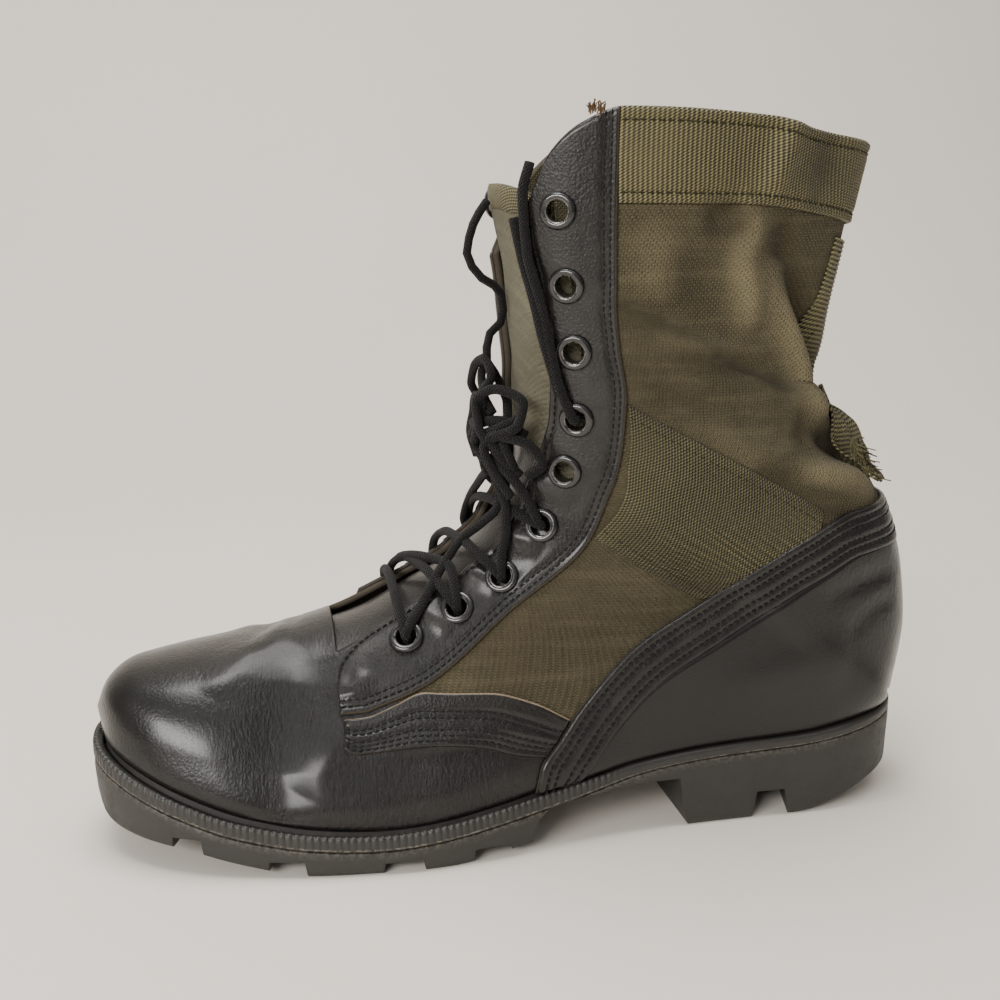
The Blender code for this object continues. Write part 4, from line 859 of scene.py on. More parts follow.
def woven_shade(name, thread, pitch, contrast, dirt, soil):
    """Plain weave: threads over and under at a pitch in metres, faded and soiled in patches.

    The crowns of the threads carry painted highlight and the gaps painted shade. On the upper the edge
    weight paints highlight on the crests of the folds, and the soil and shade weight darkens soiled
    spots and paints shade in the hollows of the folds.
    """
    weave = Finish(name, toned(thread, contrast), 0.90, {"Sheen Weight": 0.06, "Sheen Roughness": 0.5,
                                                         "Specular IOR Level": 0.10})
    wander = weave.noise(55, 2, 0.5)
    shift = weave.node("ShaderNodeCombineXYZ", {0: wander * 0.0012, 1: wander * -0.0010})
    moved = weave.node("ShaderNodeVectorMath", {0: weave.cloth(), 1: shift}, operation="ADD")
    warp, weft = [(part * (np.pi / pitch)).reckon("SINE") for part in weave.split(moved)]
    height = warp * weft * 0.5 + (warp.reckon("ABSOLUTE") + weft.reckon("ABSOLUTE")) * 0.4
    fibre = weave.noise(3800, 3, 0.7)
    weave.bump(weave.noise(48, 5, 0.55, (1.3, 1, 0.8), (0.2, 0.5, 0.3)), 0.0055, 0.65)
    weave.bump(height, 0.50 * pitch)
    weave.bump(fibre, 0.0002, 0.5)
    slub = weave.noise(260, 2, 0.5, (0.12, 1, 1), place=moved)
    # Painted highlight on the crowns of the threads; the darker base stays in the gaps as painted shade
    weave.mix(height.step(0.05, 0.85), thread)
    weave.mix(slub.step(0.45, 0.7) * 0.35, toned(thread, 1.25))
    weave.mix(weave.noise(24, 4, 0.6).step(0.3, 0.72) * 0.30, toned(thread, 1.45))
    weave.mix(weave.noise(38, 5, 0.65, turn=(0.4, 0.2, 0.9)).step(0.52, 0.80) * dirt, (0.035, 0.030, 0.020))
    # Painted highlight: on the upper the edge weight marks the crests of the folds
    weave.mix(weave.weight("edge") * 0.62, toned(thread, 2.3))
    # Soil, and painted shade in the hollows of the folds
    weave.mix(weave.weight("soil") * soil, (0.040, 0.030, 0.018))
    weave.mix(fibre * 0.18, toned(thread, 1.6))
    return weave.made()


def ribbed_shade(name, thread, rib, tooth, dirt):
    """Webbing: ribs across, each a row of short slanted stitches of thread, with painted highlight on the
    crowns and painted shade between them.
    """
    braid = Finish(name, toned(thread, 0.07), 0.58, {"Sheen Weight": 0.08, "Sheen Roughness": 0.45,
                                                     "Specular IOR Level": 0.35})
    along, across = braid.split(braid.cloth())
    whole = 2 * np.pi
    teeth = (across * (whole / tooth) + along * (0.9 * whole / rib)).reckon("SINE")
    height = (along * (whole / rib)).reckon("SINE") * 0.32 + teeth * 0.30
    braid.bump(height, 0.00075)
    braid.bump(braid.noise(4200, 3, 0.7), 0.00015, 0.5)
    # Painted highlight on the crowns of the ribs; the dark base stays between them as painted shade
    braid.mix(height.step(-0.30, 0.5), toned(thread, 2.2))
    braid.mix(braid.noise(30, 4, 0.6).step(0.35, 0.75) * 0.25, toned(thread, 1.5))
    braid.mix(braid.noise(60, 5, 0.7, turn=(0.2, 0.5, 0.1)).step(0.5, 0.78) * dirt, (0.030, 0.026, 0.016))
    # Soil, and painted shade in the hollows of the folds
    braid.mix(braid.weight("soil") * 0.75, (0.022, 0.018, 0.010))
    return braid.made()


def rubber_shade(name, looks, shine):
    """Moulded rubber: dull, dusty, with fine scratches and worn edges."""
    rubber = Finish(name, looks.rubber, 0.55, {"Specular IOR Level": 0.45})
    dusty = rubber.noise(130, 6, 0.75).step(0.42, 0.72)
    worn = rubber.weight("edge") * rubber.noise(700, 4, 0.7).step(0.42, 0.62)
    rubber.mix(rubber.noise(60, 5, 0.65), toned(looks.rubber, 1.35))
    rubber.mix(dusty * 0.30, (0.045, 0.040, 0.033))
    rubber.mix(rubber.noise(900, 5, 0.8, (0.25, 1, 1.6)).step(0.62, 0.72) * 0.20, (0.075, 0.067, 0.055))
    rubber.mix(worn, (0.26, 0.23, 0.18))
    rubber.bump(rubber.noise(2600, 4, 0.7), 0.00012, 0.8)
    rubber.bump(rubber.noise(240, 3, 0.5), 0.0004, 0.35)
    return rubber.made(Roughness=dusty * 0.22 + shine)


def enamel_shade(name):
    """Black enamel on brass, worn bright along the rim."""
    enamel = Finish(name, (0.010, 0.010, 0.010), 0.24, {"Coat Weight": 0.5, "Coat Roughness": 0.12})
    bare = enamel.weight("edge").step(0.35, 0.9) * enamel.noise(520, 5, 0.7).step(0.40, 0.60)
    enamel.mix(bare, (0.52, 0.50, 0.46))
    enamel.bump(enamel.noise(1800, 3, 0.6), 0.00006, 0.6)
    return enamel.made(Metallic=bare, Roughness=bare * -0.04 + 0.25)


def thread_shade(name, tint, pitch, fuzz):
    """Twisted or braided cord: slanted strands along it with painted highlight on their crowns and painted
    shade between them, fuzz and lint.
    """
    cord = Finish(name, toned(tint, 0.35), 0.9, {"Sheen Weight": 0.08, "Sheen Roughness": 0.4,
                                                 "Specular IOR Level": 0.2})
    along, round_it = cord.split(cord.cloth())
    turns = 2 * np.pi / pitch
    first, second = [(lay * turns).reckon("SINE") for lay in (along + round_it, along - round_it)]
    strands = first.reckon("MAXIMUM", second)
    cord.bump(strands, 0.22 * pitch, 0.8)
    cord.bump(cord.noise(3600, 4, 0.75), 0.0004, 0.7)
    # Painted highlight on the crowns of the strands; the dark base stays between them as painted shade
    cord.mix(strands.step(-0.2, 1.0), tint)
    cord.mix(cord.noise(1900, 3, 0.6).step(0.60, 0.72) * fuzz, (0.16, 0.15, 0.13))
    return cord.made()


def raw_shade(name, tint, depth):
    """Cut leather edge or bare threads: fibrous, uneven."""
    raw = Finish(name, toned(tint, 0.55), 0.85, {"Specular IOR Level": 0.25})
    grainy = raw.noise(1600, 5, 0.7)
    raw.mix(grainy, tint)
    raw.mix(raw.noise(500, 3, 0.6, (0.4, 0.4, 2.5)) * 0.45, toned(tint, 0.30))
    raw.bump(grainy, depth, 0.9)
    return raw.made()


# Names of a side in the finished pieces and in the solids
SIDES = {-1: ("outer", "lateral"), 1: ("inner", "medial")}


def spots(points, table):
    """Strength of the nearest spots at points of the form, from 0 to 1."""
    total = np.zeros(points.shape[:-1])
    for spot in table:
        middle = surface(spot.section, spot.turn)[0]
        away = np.linalg.norm(points - middle, axis=-1)
        total = np.maximum(total, spot.amount * np.exp(-(away / spot.radius) ** 2))
    return total


@lru_cache(maxsize=None)
def collar_sections(side):
    """Section of the collar line at evenly spaced turns."""
    return collar_section(np.linspace(0, 1, 400), side)


def collared(section, turn):
    """Sections past the ankle drawn in so that the last one meets the collar line."""
    start = 15.0
    size, result = np.abs(turn), section.copy()
    for side in (-1, 1):
        top = np.interp(size, np.linspace(0, 1, 400), collar_sections(side))
        drawn = start + (section - start) * (top - start) / (TOP - start)
        chosen = (section > start) & ((turn < 0) == (side < 0))
        result = np.where(chosen, drawn, result)
    return result


def even_sections(low, high, step, turns):
    """Sections evenly spaced over the form, a step apart where it is widest of the given turns."""
    dense = np.linspace(low, high, 1200)
    reach = np.zeros(len(dense) - 1)
    for turn in turns:
        points = form(dense, np.full_like(dense, turn), -1)
        reach = np.maximum(reach, np.linalg.norm(np.diff(points, axis=0), axis=1))
    runs = np.concatenate([[0.0], np.cumsum(reach)])
    return np.interp(np.linspace(0, runs[-1], int(runs[-1] / step) + 2), runs, dense)


def cloth_places(points, middle_column):
    """Texture places of the shaft's cloth: girth from a middle column, and height."""
    steps = np.hypot(*np.moveaxis(np.diff(points[..., :2], axis=1), -1, 0))
    girth = np.concatenate([np.zeros((len(points), 1)), np.cumsum(steps, axis=1)], axis=1)
    start = girth[:, middle_column:middle_column + 1]
    across = points[:, middle_column, 0][:, None] + girth - start
    return np.stack([across, points[..., 2]], axis=-1)


def canvas_outline():
    """Side view of what is cloth: behind the facing, over the quarter strip and the counter."""
    rear = beside(smooth(FACING_REAR, 60), 0.004)
    wing = side_line(WING_TOP)[3:] - (0, 0.004)
    counter = beside(smooth(COUNTER_TOP, 60), -0.005)
    counter = counter[counter[:, 0] > wing[-1][0]]
    rear = rear[rear[:, 1] > wing[0][1]]
    return np.array([*wing, *counter, (0.3, counter[-1][1]), (0.3, 0.4), (rear[-1][0], 0.4), *rear[::-1]])


def near_eyelets(points, sides, reach):
    """Whether points of the form are within reach of an eyelet's middle."""
    close = np.zeros(points.shape[:-1], bool)
    for side in sides:
        for section in EYELETS:
            middle = eyelet_place(section, side)[0]
            close |= np.linalg.norm(points - middle, axis=-1) < reach
    return close


def cell_means(values):
    return 0.25 * (values[:-1, :-1] + values[1:, :-1] + values[1:, 1:] + values[:-1, 1:])


def build_upper(settings):
    """Hollow upper: leather foot and canvas shaft, lined, with the throat and eyelet holes open."""
    sections = even_sections(0.0, TOP, settings.grid, (0.3, 0.6, 1.0))
    sections = np.sort(np.append(sections, [THROAT, LAST_FEATHER]))
    throat_columns, wall_columns = 5, 64
    halves = []
    for side in (-1, 1):
        edge = throat_turn(sections, side)
        shares = np.linspace(0, 1, wall_columns)
        turns = [edge * share for share in np.linspace(0, 1, throat_columns)[:-1]]
        turns += [edge + (1 - edge) * share for share in shares]
        turns = np.array(turns).T
        grid_sections = np.repeat(sections[:, None], turns.shape[1], axis=1)
        for _ in range(2):
            moved = collared(grid_sections, side * turns)
            edge = throat_turn(moved, side)
            over_edge = np.concatenate([np.linspace(0, 1, throat_columns)[:-1], 1 + shares])
            turns = np.where(over_edge < 1, edge * over_edge, edge + (1 - edge) * (over_edge - 1))
        halves.append((moved, side * turns))
    section = np.concatenate([halves[0][0][:, ::-1], halves[1][0][:, 1:]], axis=1)
    turn = np.concatenate([halves[0][1][:, ::-1], halves[1][1][:, 1:]], axis=1)
    base, normals = surface(section, turn)
    folds = relief(base)
    lean = normals.copy()
    outer = base + normals * folds[..., None]
    inner = base + normals * (folds - UPPER_WALL)[..., None]
    for column in (0, -1):
        feather = section[:, column] <= LAST_FEATHER
        flat = unit(lean[:, column] * (1, 1, 0))
        level = base[:, column] - flat * UPPER_WALL
        inner[:, column] = np.where(feather[:, None], level, inner[:, column])
        outer[:, column] = np.where(feather[:, None], base[:, column], outer[:, column])
    keep = np.ones((len(section) - 1, section.shape[1] - 1), bool)
    middle = section.shape[1] // 2
    in_throat = sections[:-1] >= THROAT - 1e-9
    keep[np.ix_(in_throat, np.arange(middle - throat_columns + 1, middle + throat_columns - 1))] = False
    centres = np.stack([cell_means(base[..., k]) for k in range(3)], axis=-1)
    keep &= ~near_eyelets(centres, (-1, 1), 0.0045)
    cloth = inside(canvas_outline(), centres[..., 0], centres[..., 2])
    outer_uv = cloth_places(base[:, :middle + 1], middle // 2) * (-1, 1)
    inner_uv = cloth_places(base[:, middle:], middle // 2)
    uv = np.concatenate([outer_uv, inner_uv[:, 1:]], axis=1)
    # Painted shade in the hollows of the folds and painted highlight on their crests up the shaft; the shade
    # goes into the soil and shade weight, the highlight into the edge weight
    hollow = np.clip(-folds / 0.0042, 0, 0.95)
    painted_crest_light = np.clip(folds / 0.0045, 0, 1) * np.clip((section - 12) / 2, 0, 1)
    weights = {"flex": spots(base, FLEXED), "soil": np.maximum(spots(base, SOILED_AND_SHADED), hollow), "edge": painted_crest_light}
    seam = cell_means(section) > LAST_FEATHER
    mesh = walled("upper_finished", outer, inner, keep, uv, cloth.astype(int), 2, 3, weights,
                  flip=True, seam_rows=seam[:, 0], toe_row=True)
    shades = [shade_of(finish) for finish in ("leather", "canvas", "lining", "cut_edge")]
    link("leather_and_canvas_upper", mesh, shades, ["upper"])


def facing_turns(sections, side):
    """Turns of the facing's throat edge and rear edge at each section."""
    rear = smooth(FACING_REAR, 200)
    front = side_line([FACING_FRONT])
    rear_section, rear_turn, _ = unfold(*np.concatenate([front, rear]).T)
    order = np.argsort(rear_section)
    last = np.interp(sections, rear_section[order], rear_turn[order])
    corner = np.interp(sections, column(CORNER, "section"), column(CORNER, "turn"), right=0.0)
    first = np.maximum(throat_turn(np.maximum(sections, THROAT), side), corner)
    return first, last


def facing_grid(side, step, columns):
    start = np.array([6.0, 6.008, 6.02, 6.04, 6.07])
    sections = np.concatenate([start, even_sections(6.11, TOP, step, (0.2, 0.3))])
    shares = 0.5 - 0.5 * np.cos(np.pi * np.linspace(0, 1, columns))
    shares = 0.6 * np.linspace(0, 1, columns) + 0.4 * shares
    section = np.repeat(sections[:, None], columns, axis=1)
    for _ in range(3):
        first, last = facing_turns(section, side)
        turn = side * (first + (last - first) * shares)
        section = collared(np.repeat(sections[:, None], columns, axis=1), turn)
    return section, turn


def at_distance(section, turn, across, distance):
    """Path over a grid at a distance across it from the first or, if negative, the last column."""
    path = []
    for row in range(len(section)):
        run = across[row]
        at = distance if distance > 0 else run[-1] + distance
        if 0 < at < run[-1]:
            path.append((np.interp(at, run, section[row]), np.interp(at, run, turn[row])))
    return np.array(path)


def groove(distance, at, depth=0.00055, width=0.0008):
    return -depth * np.exp(-((distance - at) / width) ** 2)


def build_facing(side, settings):
    """Eyelet facing with its cut edges, seams and puckers."""
    section, turn = facing_grid(side, settings.grid * 0.75, 30)
    base, normals = surface(section, turn)
    folds = relief(base)
    start, rear, foot, top = border_distance(base)
    rim = np.minimum(np.minimum(start, rear), np.minimum(foot, top))
    lift = GAP + 0.0014 * (0.45 + 0.55 * fade(rim, 0.0011))
    for at in (0.0026, 0.0048):
        lift = lift + groove(rear, at)
    lift = lift + groove(start, 0.0024)
    outer = base + normals * (folds + lift)[..., None]
    inner = base + normals * (folds + 0.5 * GAP)[..., None]
    centres = np.stack([cell_means(base[..., k]) for k in range(3)], axis=-1)
    keep = ~near_eyelets(centres, (side,), 0.0045)
    slots = np.zeros(keep.shape, int)
    slots[:, -1] = 1
    side_name, cad_side = SIDES[side]
    weights = {"flex": spots(base, FLEXED), "edge": np.exp(-rim / 0.0016) * 0.8}
    mesh = walled("facing_" + side_name, outer, inner, keep, base[..., ::2], slots, 0, 1, weights,
                  flip=side < 0)
    link("eyelet_facing_" + side_name, mesh, [shade_of("leather_matt"), shade_of("cut_edge")],
         ["facing_" + cad_side])
    return [Seam(at_distance(section, turn, start, distance), GAP + 0.00115)
            for distance in (-0.0026, -0.0048, 0.0024)]


Seam = namedtuple("Seam", "path lift")


def panel(name, node, first, second, columns, wall, round_off, shades, seam_shares=(), flip=False,
          raw_first=False, waves=None):
    """Strip laid on the upper between two edges, with seams at shares of its width."""
    shares = 0.5 - 0.5 * np.cos(np.pi * np.linspace(0, 1, columns))
    shares = 0.75 * np.linspace(0, 1, columns) + 0.25 * shares
    grid = spread(first, second, shares)
    section, turn = grid[..., 0], grid[..., 1]
    base, normals = surface(section, turn)
    folds = relief(base)
    start, rear, foot, top = border_distance(base)
    ends = np.minimum(foot, top)
    rim = np.minimum(np.minimum(start, rear), ends)
    lift = GAP + wall * (0.45 + 0.55 * fade(rim, round_off))
    for share in seam_shares:
        at = share * (start + rear)
        lift = lift + groove(start, at)
    uv = np.stack([foot, start], axis=-1)
    if waves is not None:
        lift = lift + waves(foot, rim)
    outer = base + normals * (folds + lift)[..., None]
    inner = base + normals * (folds + 0.5 * GAP)[..., None]
    keep = np.ones((len(section) - 1, columns - 1), bool)
    slots = np.zeros(keep.shape, int)
    if raw_first:
        slots[:, 0] = 1
    weights = {"flex": spots(base, FLEXED), "edge": np.exp(-rim / 0.0014) * 0.7, "soil": spots(base, SOILED_AND_SHADED)}
    mesh = walled(name, outer, inner, keep, uv, slots, 0, 1, weights, flip=flip)
    link(name, mesh, shades, node)
    return [Seam(first * (1 - share) + second * share, GAP + wall - 0.00025) for share in seam_shares]


def both_sides(line, count):
    """Edge round the back: outer side from the front to the back, inner side back to the front."""
    outer, inner = edge_of(line, -1, count), edge_of(line, 1, count)
    return np.concatenate([outer, inner[::-1][1:]])


def build_wing(side):
    """Low strip of the quarter, with raw top edge and rows of stitching."""
    top, low = smooth(WING_TOP, 90), smooth(WING_LOW, 90)
    first, second = edge_of(top, side, 90), edge_of(low, side, 90)
    side_name, cad_side = SIDES[side]
    shades = [shade_of("leather_matt"), shade_of("tan_edge")]
    return panel("quarter_strip_" + side_name, ["wing_" + cad_side], first, second, 30, 0.0015, 0.0012,
                 shades, (0.33, 0.445, 0.66, 0.77, 0.875), flip=side > 0, raw_first=True)


def build_counter():
    """Stitched counter band and the heel piece under it, round both sides."""
    top = smooth(COUNTER_TOP, 240)
    low = beside(top, -COUNTER_BAND)
    seat = side_height(top[:, 0], "seat", WELT_WIDTH) + GAP
    begin = np.argmax(top[:, 1] > seat)
    low_seat = side_height(low[:, 0], "seat", WELT_WIDTH) + GAP
    low_begin = np.argmax(low[:, 1] > low_seat)
    first = both_sides(top[begin:], 150)
    second = both_sides(low[low_begin:], 150)
    seams = panel("counter_band_finished", ["counter_band"], first, second, 26, 0.0019, 0.0013,
                  [shade_of("leather_matt"), shade_of("cut_edge")], (0.20, 0.36, 0.62, 0.80))
    under = beside(top, -COUNTER_BAND + 0.0006)
    under = under[np.argmax(under[:, 1] > side_height(under[:, 0], "seat", WELT_WIDTH) + GAP):]
    halves = []
    for side in (-1, 1):
        upper_edge = edge_of(under, side, 110)
        foot = np.stack([upper_edge[:, 0], np.full(110, float(side))], axis=-1)
        halves.append(spread(upper_edge, foot, np.linspace(0, 1, 34)))
    grid = np.concatenate([halves[0], halves[1][:, ::-1]], axis=1)
    section, turn = grid[..., 0], grid[..., 1]
    base, normals = surface(section, turn)
    folds = relief(base)
    lift = GAP + 0.0013
    on_seat = (np.abs(turn) >= 1) & (section < LAST_FEATHER)
    lean = np.where(on_seat[..., None], unit(normals * (1, 1, 0)), normals)
    outer = base + lean * (np.where(on_seat, 0, folds) + lift)[..., None]
    inner = base + lean * (np.where(on_seat, 0, folds) + 0.5 * GAP)[..., None]
    keep = np.ones((len(section) - 1, section.shape[1] - 1), bool)
    seam_column = halves[0].shape[1] - 1
    keep[cell_means(section)[:, seam_column] < LAST_FEATHER, seam_column] = False
    weights = {"flex": spots(base, FLEXED)}
    mesh = walled("heel_piece", outer, inner, keep, base[..., ::2], None, 0, 0, weights, merge=2e-5)
    link("heel_counter_finished", mesh, [shade_of("leather")], ["heel_counter"])
    return seams


def ribs(pitch, height):
    """Raised cross ribs of webbing, that die out at its selvedges."""
    def waves(along, rim):
        return height * np.sin(2 * np.pi * along / pitch) * np.clip(rim / 0.0012, 0, 1)
    return waves


def build_ankle_webbing(side):
    """Ribbed band from the facing to the counter."""
    top = smooth(WEBBING_TOP, 100)
    low = smooth(WEBBING_LOW, 100)
    count = 330
    first, second = edge_of(top, side, count), edge_of(low, side, count)
    side_name, cad_side = SIDES[side]
    ribbed = shade_of("ankle_ribs")
    return panel("ankle_webbing_" + side_name + "_finished", ["ankle_webbing_" + cad_side],
                 first, second, 26, 0.0010, 0.0008, [ribbed, ribbed], (0.06, 0.94),
                 flip=side > 0, waves=ribs(0.0012, 0.00018))


def build_cuff():
    """Braided band round the top of the shaft."""
    line = smooth(CUFF_LINE, 200)
    rear = beside(smooth(FACING_REAR, 200), -0.0003)
    start = np.interp(line[0][1], rear[:, 1], rear[:, 0])
    x = np.linspace(start, line[-1][0], 300)
    foot_line = np.stack([x, np.interp(x, line[:, 0], line[:, 1])], axis=-1)
    halves = []
    for side in (-1, 1):
        foot = edge_of(foot_line, side, 330)
        top_line = np.stack([x, collar_height(x, side)], axis=-1)
        top = edge_of(top_line, side, 330)
        halves.append((top, foot))
    first = np.concatenate([halves[0][0], halves[1][0][::-1][1:]])
    second = np.concatenate([halves[0][1], halves[1][1][::-1][1:]])
    braided = shade_of("cuff_braid")
    return panel("collar_band_finished", ["collar_band"], first, second, 30, 0.0017, 0.0009,
                 [braided, braided], (0.13, 0.87), waves=ribs(0.0016, 0.00016))


def build_backstay():
    """Ribbed strip down the back under the cuff."""
    foot_height = side_line([BACKSTAY_FOOT])[0][1]
    line = smooth(CUFF_LINE, 200)
    top_height = line[-1][1] - 0.001
    rows = 300
    heights = np.linspace(top_height, foot_height, rows)
    back_z = section_lines(np.linspace(13.2, TOP, 800))[3]
    sections = np.interp(heights, back_z, np.linspace(13.2, TOP, 800))
    edges = []
    for half in (0.5 * BACKSTAY_WIDTH + 0.0050, 0.5 * BACKSTAY_WIDTH - 0.0006):
        low, _ = halved(np.full(rows, 0.6), np.ones(rows),
                        lambda turn: section_width(sections, turn, -1) > half, 24)
        edges.append(low)
    outer_side = np.stack([sections, -edges[0]], axis=-1)
    spine_outer = np.stack([sections, -np.ones(rows)], axis=-1)
    spine_inner = np.stack([sections, np.ones(rows)], axis=-1)
    inner_side = np.stack([sections, edges[1]], axis=-1)
    shares = np.linspace(0, 1, 12)
    outer_half = spread(outer_side, spine_outer, shares)
    inner_half = spread(spine_inner, inner_side, shares)
    grid = np.concatenate([outer_half, inner_half[:, 1:]], axis=1)
    section, turn = grid[..., 0], grid[..., 1]
    base, normals = surface(section, turn)
    folds = relief(base)
    start, rear, foot, _ = border_distance(base)
    rim = np.minimum(start, rear)
    lift = GAP + 0.0012 * (0.45 + 0.55 * fade(rim, 0.0009)) + ribs(0.0016, 0.00020)(foot, rim)
    lift = lift + groove(rim, 0.0030)
    outer = base + normals * (folds + lift)[..., None]
    inner = base + normals * (folds + 0.5 * GAP)[..., None]
    weights = {"soil": spots(base, SOILED_AND_SHADED)}
    mesh = walled("backstay_strip", outer, inner, None, np.stack([foot, start], axis=-1), None, 0, 0, weights,
                  merge=1e-7)
    link("backstay_finished", mesh, [shade_of("stay_ribs")], ["backstay"])
    return [Seam(outer_side * 0.76 + spine_outer * 0.24, GAP + 0.0009),
            Seam(inner_side * 0.76 + spine_inner * 0.24, GAP + 0.0009)]


def build_frays():
    """Loose threads at the foot of the backstay, and a tuft at the top corner of the outer facing."""
    chance = np.random.default_rng(7)
    for name, finish, count, middle, spans, reach in FRAYS:
        points, faces, start = [], [], 0
        for _ in range(count):
            section, turn = np.array(middle) + chance.uniform(-1, 1, 2) * spans
            lift = chance.uniform(0.0012, 0.0032)
            drop, lean = reach * chance.uniform(0.5, 1.1), chance.normal(0, 0.35) * abs(reach)
            guide = []
            for step in (0.0, 0.35, 0.7, 1.0):
                place = over(section, turn, lift * (1 + 1.4 * step * step))
                guide.append(place + np.array([lean * step * step, -0.1 * lean * step, drop * step]))
            part, part_faces, _ = tube(rounded(guide, 9), 0.00045, 0.00045, (0.0, 1.0, 0.2), 5)
            faces += [tuple(index + start for index in face) for face in part_faces]
            points.append(part)
            start += len(part)
        link(name, mesh_of(name, np.concatenate(points), faces), [shade_of(finish)])


def build_flap():
    """Torn end of the backstay's webbing, crumpled over the heel of the shaft."""
    rows, columns = 40, 34
    down, across = np.meshgrid(np.linspace(0, 1, rows), np.linspace(0, 1, columns), indexing="ij")
    torn = 0.10 * np.sin(17 * across) + 0.07 * np.sin(41 * across + 1) + 0.05 * np.sin(83 * across)
    section = 19.95 - down * (2.0 + 0.45 * across + torn)
    turn = -(0.800 + 0.150 * across - 0.02 * down * (1 - across))
    base, normals = surface(section, turn)
    crumple = 0.0010 * np.sin(9 * down + 5 * across) + 0.0007 * np.sin(15 * across - 6 * down)
    lift = relief(base) + 0.0024 + 0.0012 * down + crumple
    start, _, foot, _ = border_distance(base)
    outer = base + normals * lift[..., None]
    inner = base + normals * (lift - 0.0009)[..., None]
    # The soil and shade weight darkens the flap towards its torn end
    mesh = walled("torn_flap", outer, inner, None, np.stack([foot, start], axis=-1), None, 0, 0,
                  {"soil": 0.35 * down})
    link("backstay_torn_end", mesh, [shade_of("stay_ribs")])


def sew(name, seams, pitch, thickness, shade):
    """Every stitch of some seams as one mesh: short arched threads along each path."""
    sides = 6
    steps = (-0.5, -0.42, -0.15, 0.15, 0.42, 0.5)
    sizes = (0.25, 0.8, 1.0, 1.0, 0.8, 0.25)
    heights = (-0.9, -0.25, 0.35, 0.35, -0.25, -0.9)
    angles = 2 * np.pi * np.arange(sides) / sides
    half, length = 0.5 * thickness, 0.80 * pitch
    ring = len(steps) * sides
    points, faces, caps, start = [], [], [], 0
    for seam in seams:
        base, normals = surface(seam.path[:, 0], seam.path[:, 1])
        line = base + normals * (relief(base) + seam.lift)[:, None]
        runs = lengths(line)
        count = int(runs[-1] / pitch)
        if count < 1:
            continue
        at = (np.arange(count) + 0.5) * runs[-1] / count
        middle, ahead, lean = [
            np.stack([np.interp(spots_at, runs, values[:, k]) for k in range(3)], axis=-1)
            for spots_at, values in ((at, line), (at + 0.3 * pitch, line), (at, normals))]
        lean = unit(lean)
        along = unit(ahead - middle)
        across = np.cross(lean, along)
        stitch = []
        for step, size, height in zip(steps, sizes, heights):
            for angle in angles:
                stitch.append(middle + along * step * length + across * np.cos(angle) * half * size
                              + lean * (np.sin(angle) * half * size + height * half))
        points.append(np.stack(stitch, axis=1).reshape(-1, 3))
        offsets = start + np.arange(count) * ring
        start += count * ring
        for level in range(len(steps) - 1):
            for k in range(sides):
                a, b = level * sides + k, level * sides + (k + 1) % sides
                corners = [offsets + a, offsets + b, offsets + b + sides, offsets + a + sides]
                faces.append(np.stack(corners, axis=1))
        for offset in offsets:
            caps.append(tuple(offset + k for k in range(sides))[::-1])
            caps.append(tuple(offset + ring - sides + k for k in range(sides)))
    all_faces = [tuple(face) for face in np.concatenate(faces)] + caps
    link(name, mesh_of(name, np.concatenate(points), all_faces), [shade_of(shade)])


def turned(places, profile, steps, weights):
    """Rings turned round several places. The profile is a closed loop of radius and height."""
    points, faces, worn = [], [], []
    size = len(profile)
    for number, (middle, normal, along) in enumerate(places):
        across = np.cross(normal, along)
        first = number * steps * size
        for step in range(steps):
            angle = 2 * np.pi * step / steps
            out = np.cos(angle) * along + np.sin(angle) * across
            for (radius, height), value in zip(profile, weights):
                points.append(middle + out * radius + normal * height)
                low = 0.5 - 0.5 * np.sin(angle + 0.9)
                worn.append(value * (0.55 + 0.45 * low))
            after = (step + 1) % steps
            for k in range(size):
                j = (k + 1) % size
                faces.append((first + step * size + k, first + step * size + j,
                              first + after * size + j, first + after * size + k))
    return np.array(points), faces, worn


def eyelet_profile():
    """Rolled rim with a barrel through facing and upper."""
    base = GAP + 0.0014 + 0.0002
    foot = -UPPER_WALL - GAP
    crown = base + 0.0016
    outline = [(0.0036, foot), (0.0036, crown - 0.0011)]
    wear = [0.0, 0.3]
    for step in range(9):
        angle = np.pi * (1 - step / 8)
        outline.append((0.0048 + 0.0012 * np.cos(angle), crown - 0.0009 + 0.0009 * np.sin(angle)))
        wear.append(1.0 if step in (1, 2) else 0.25)
    outline += [(0.0062, base + 0.00025), (0.0062, base), (0.0041, base), (0.0041, foot)]
    wear += [0.2, 0.1, 0.0, 0.0]
    return outline, wear


def build_eyelets(side, settings):
    """Nine eyelets of one side in one mesh."""
    places = []
    for section in EYELETS:
        middle, normal, along, _ = eyelet_place(section, side)
        middle = middle + normal * relief(middle[None])[0]
        places.append((middle, normal, along))
    profile, wear = eyelet_profile()
    points, faces, worn = turned(places, profile, settings.ring_steps, wear)
    side_name, cad_side = SIDES[side]
    mesh = mesh_of("eyelets_" + side_name, points, faces, weights={"edge": worn})
    outward(mesh)
    nodes = ["eyelet_%s_%d" % (cad_side, number) for number in range(1, len(EYELETS) + 1)]
    link("eyelets_" + side_name, mesh, [shade_of("enamel")], nodes)


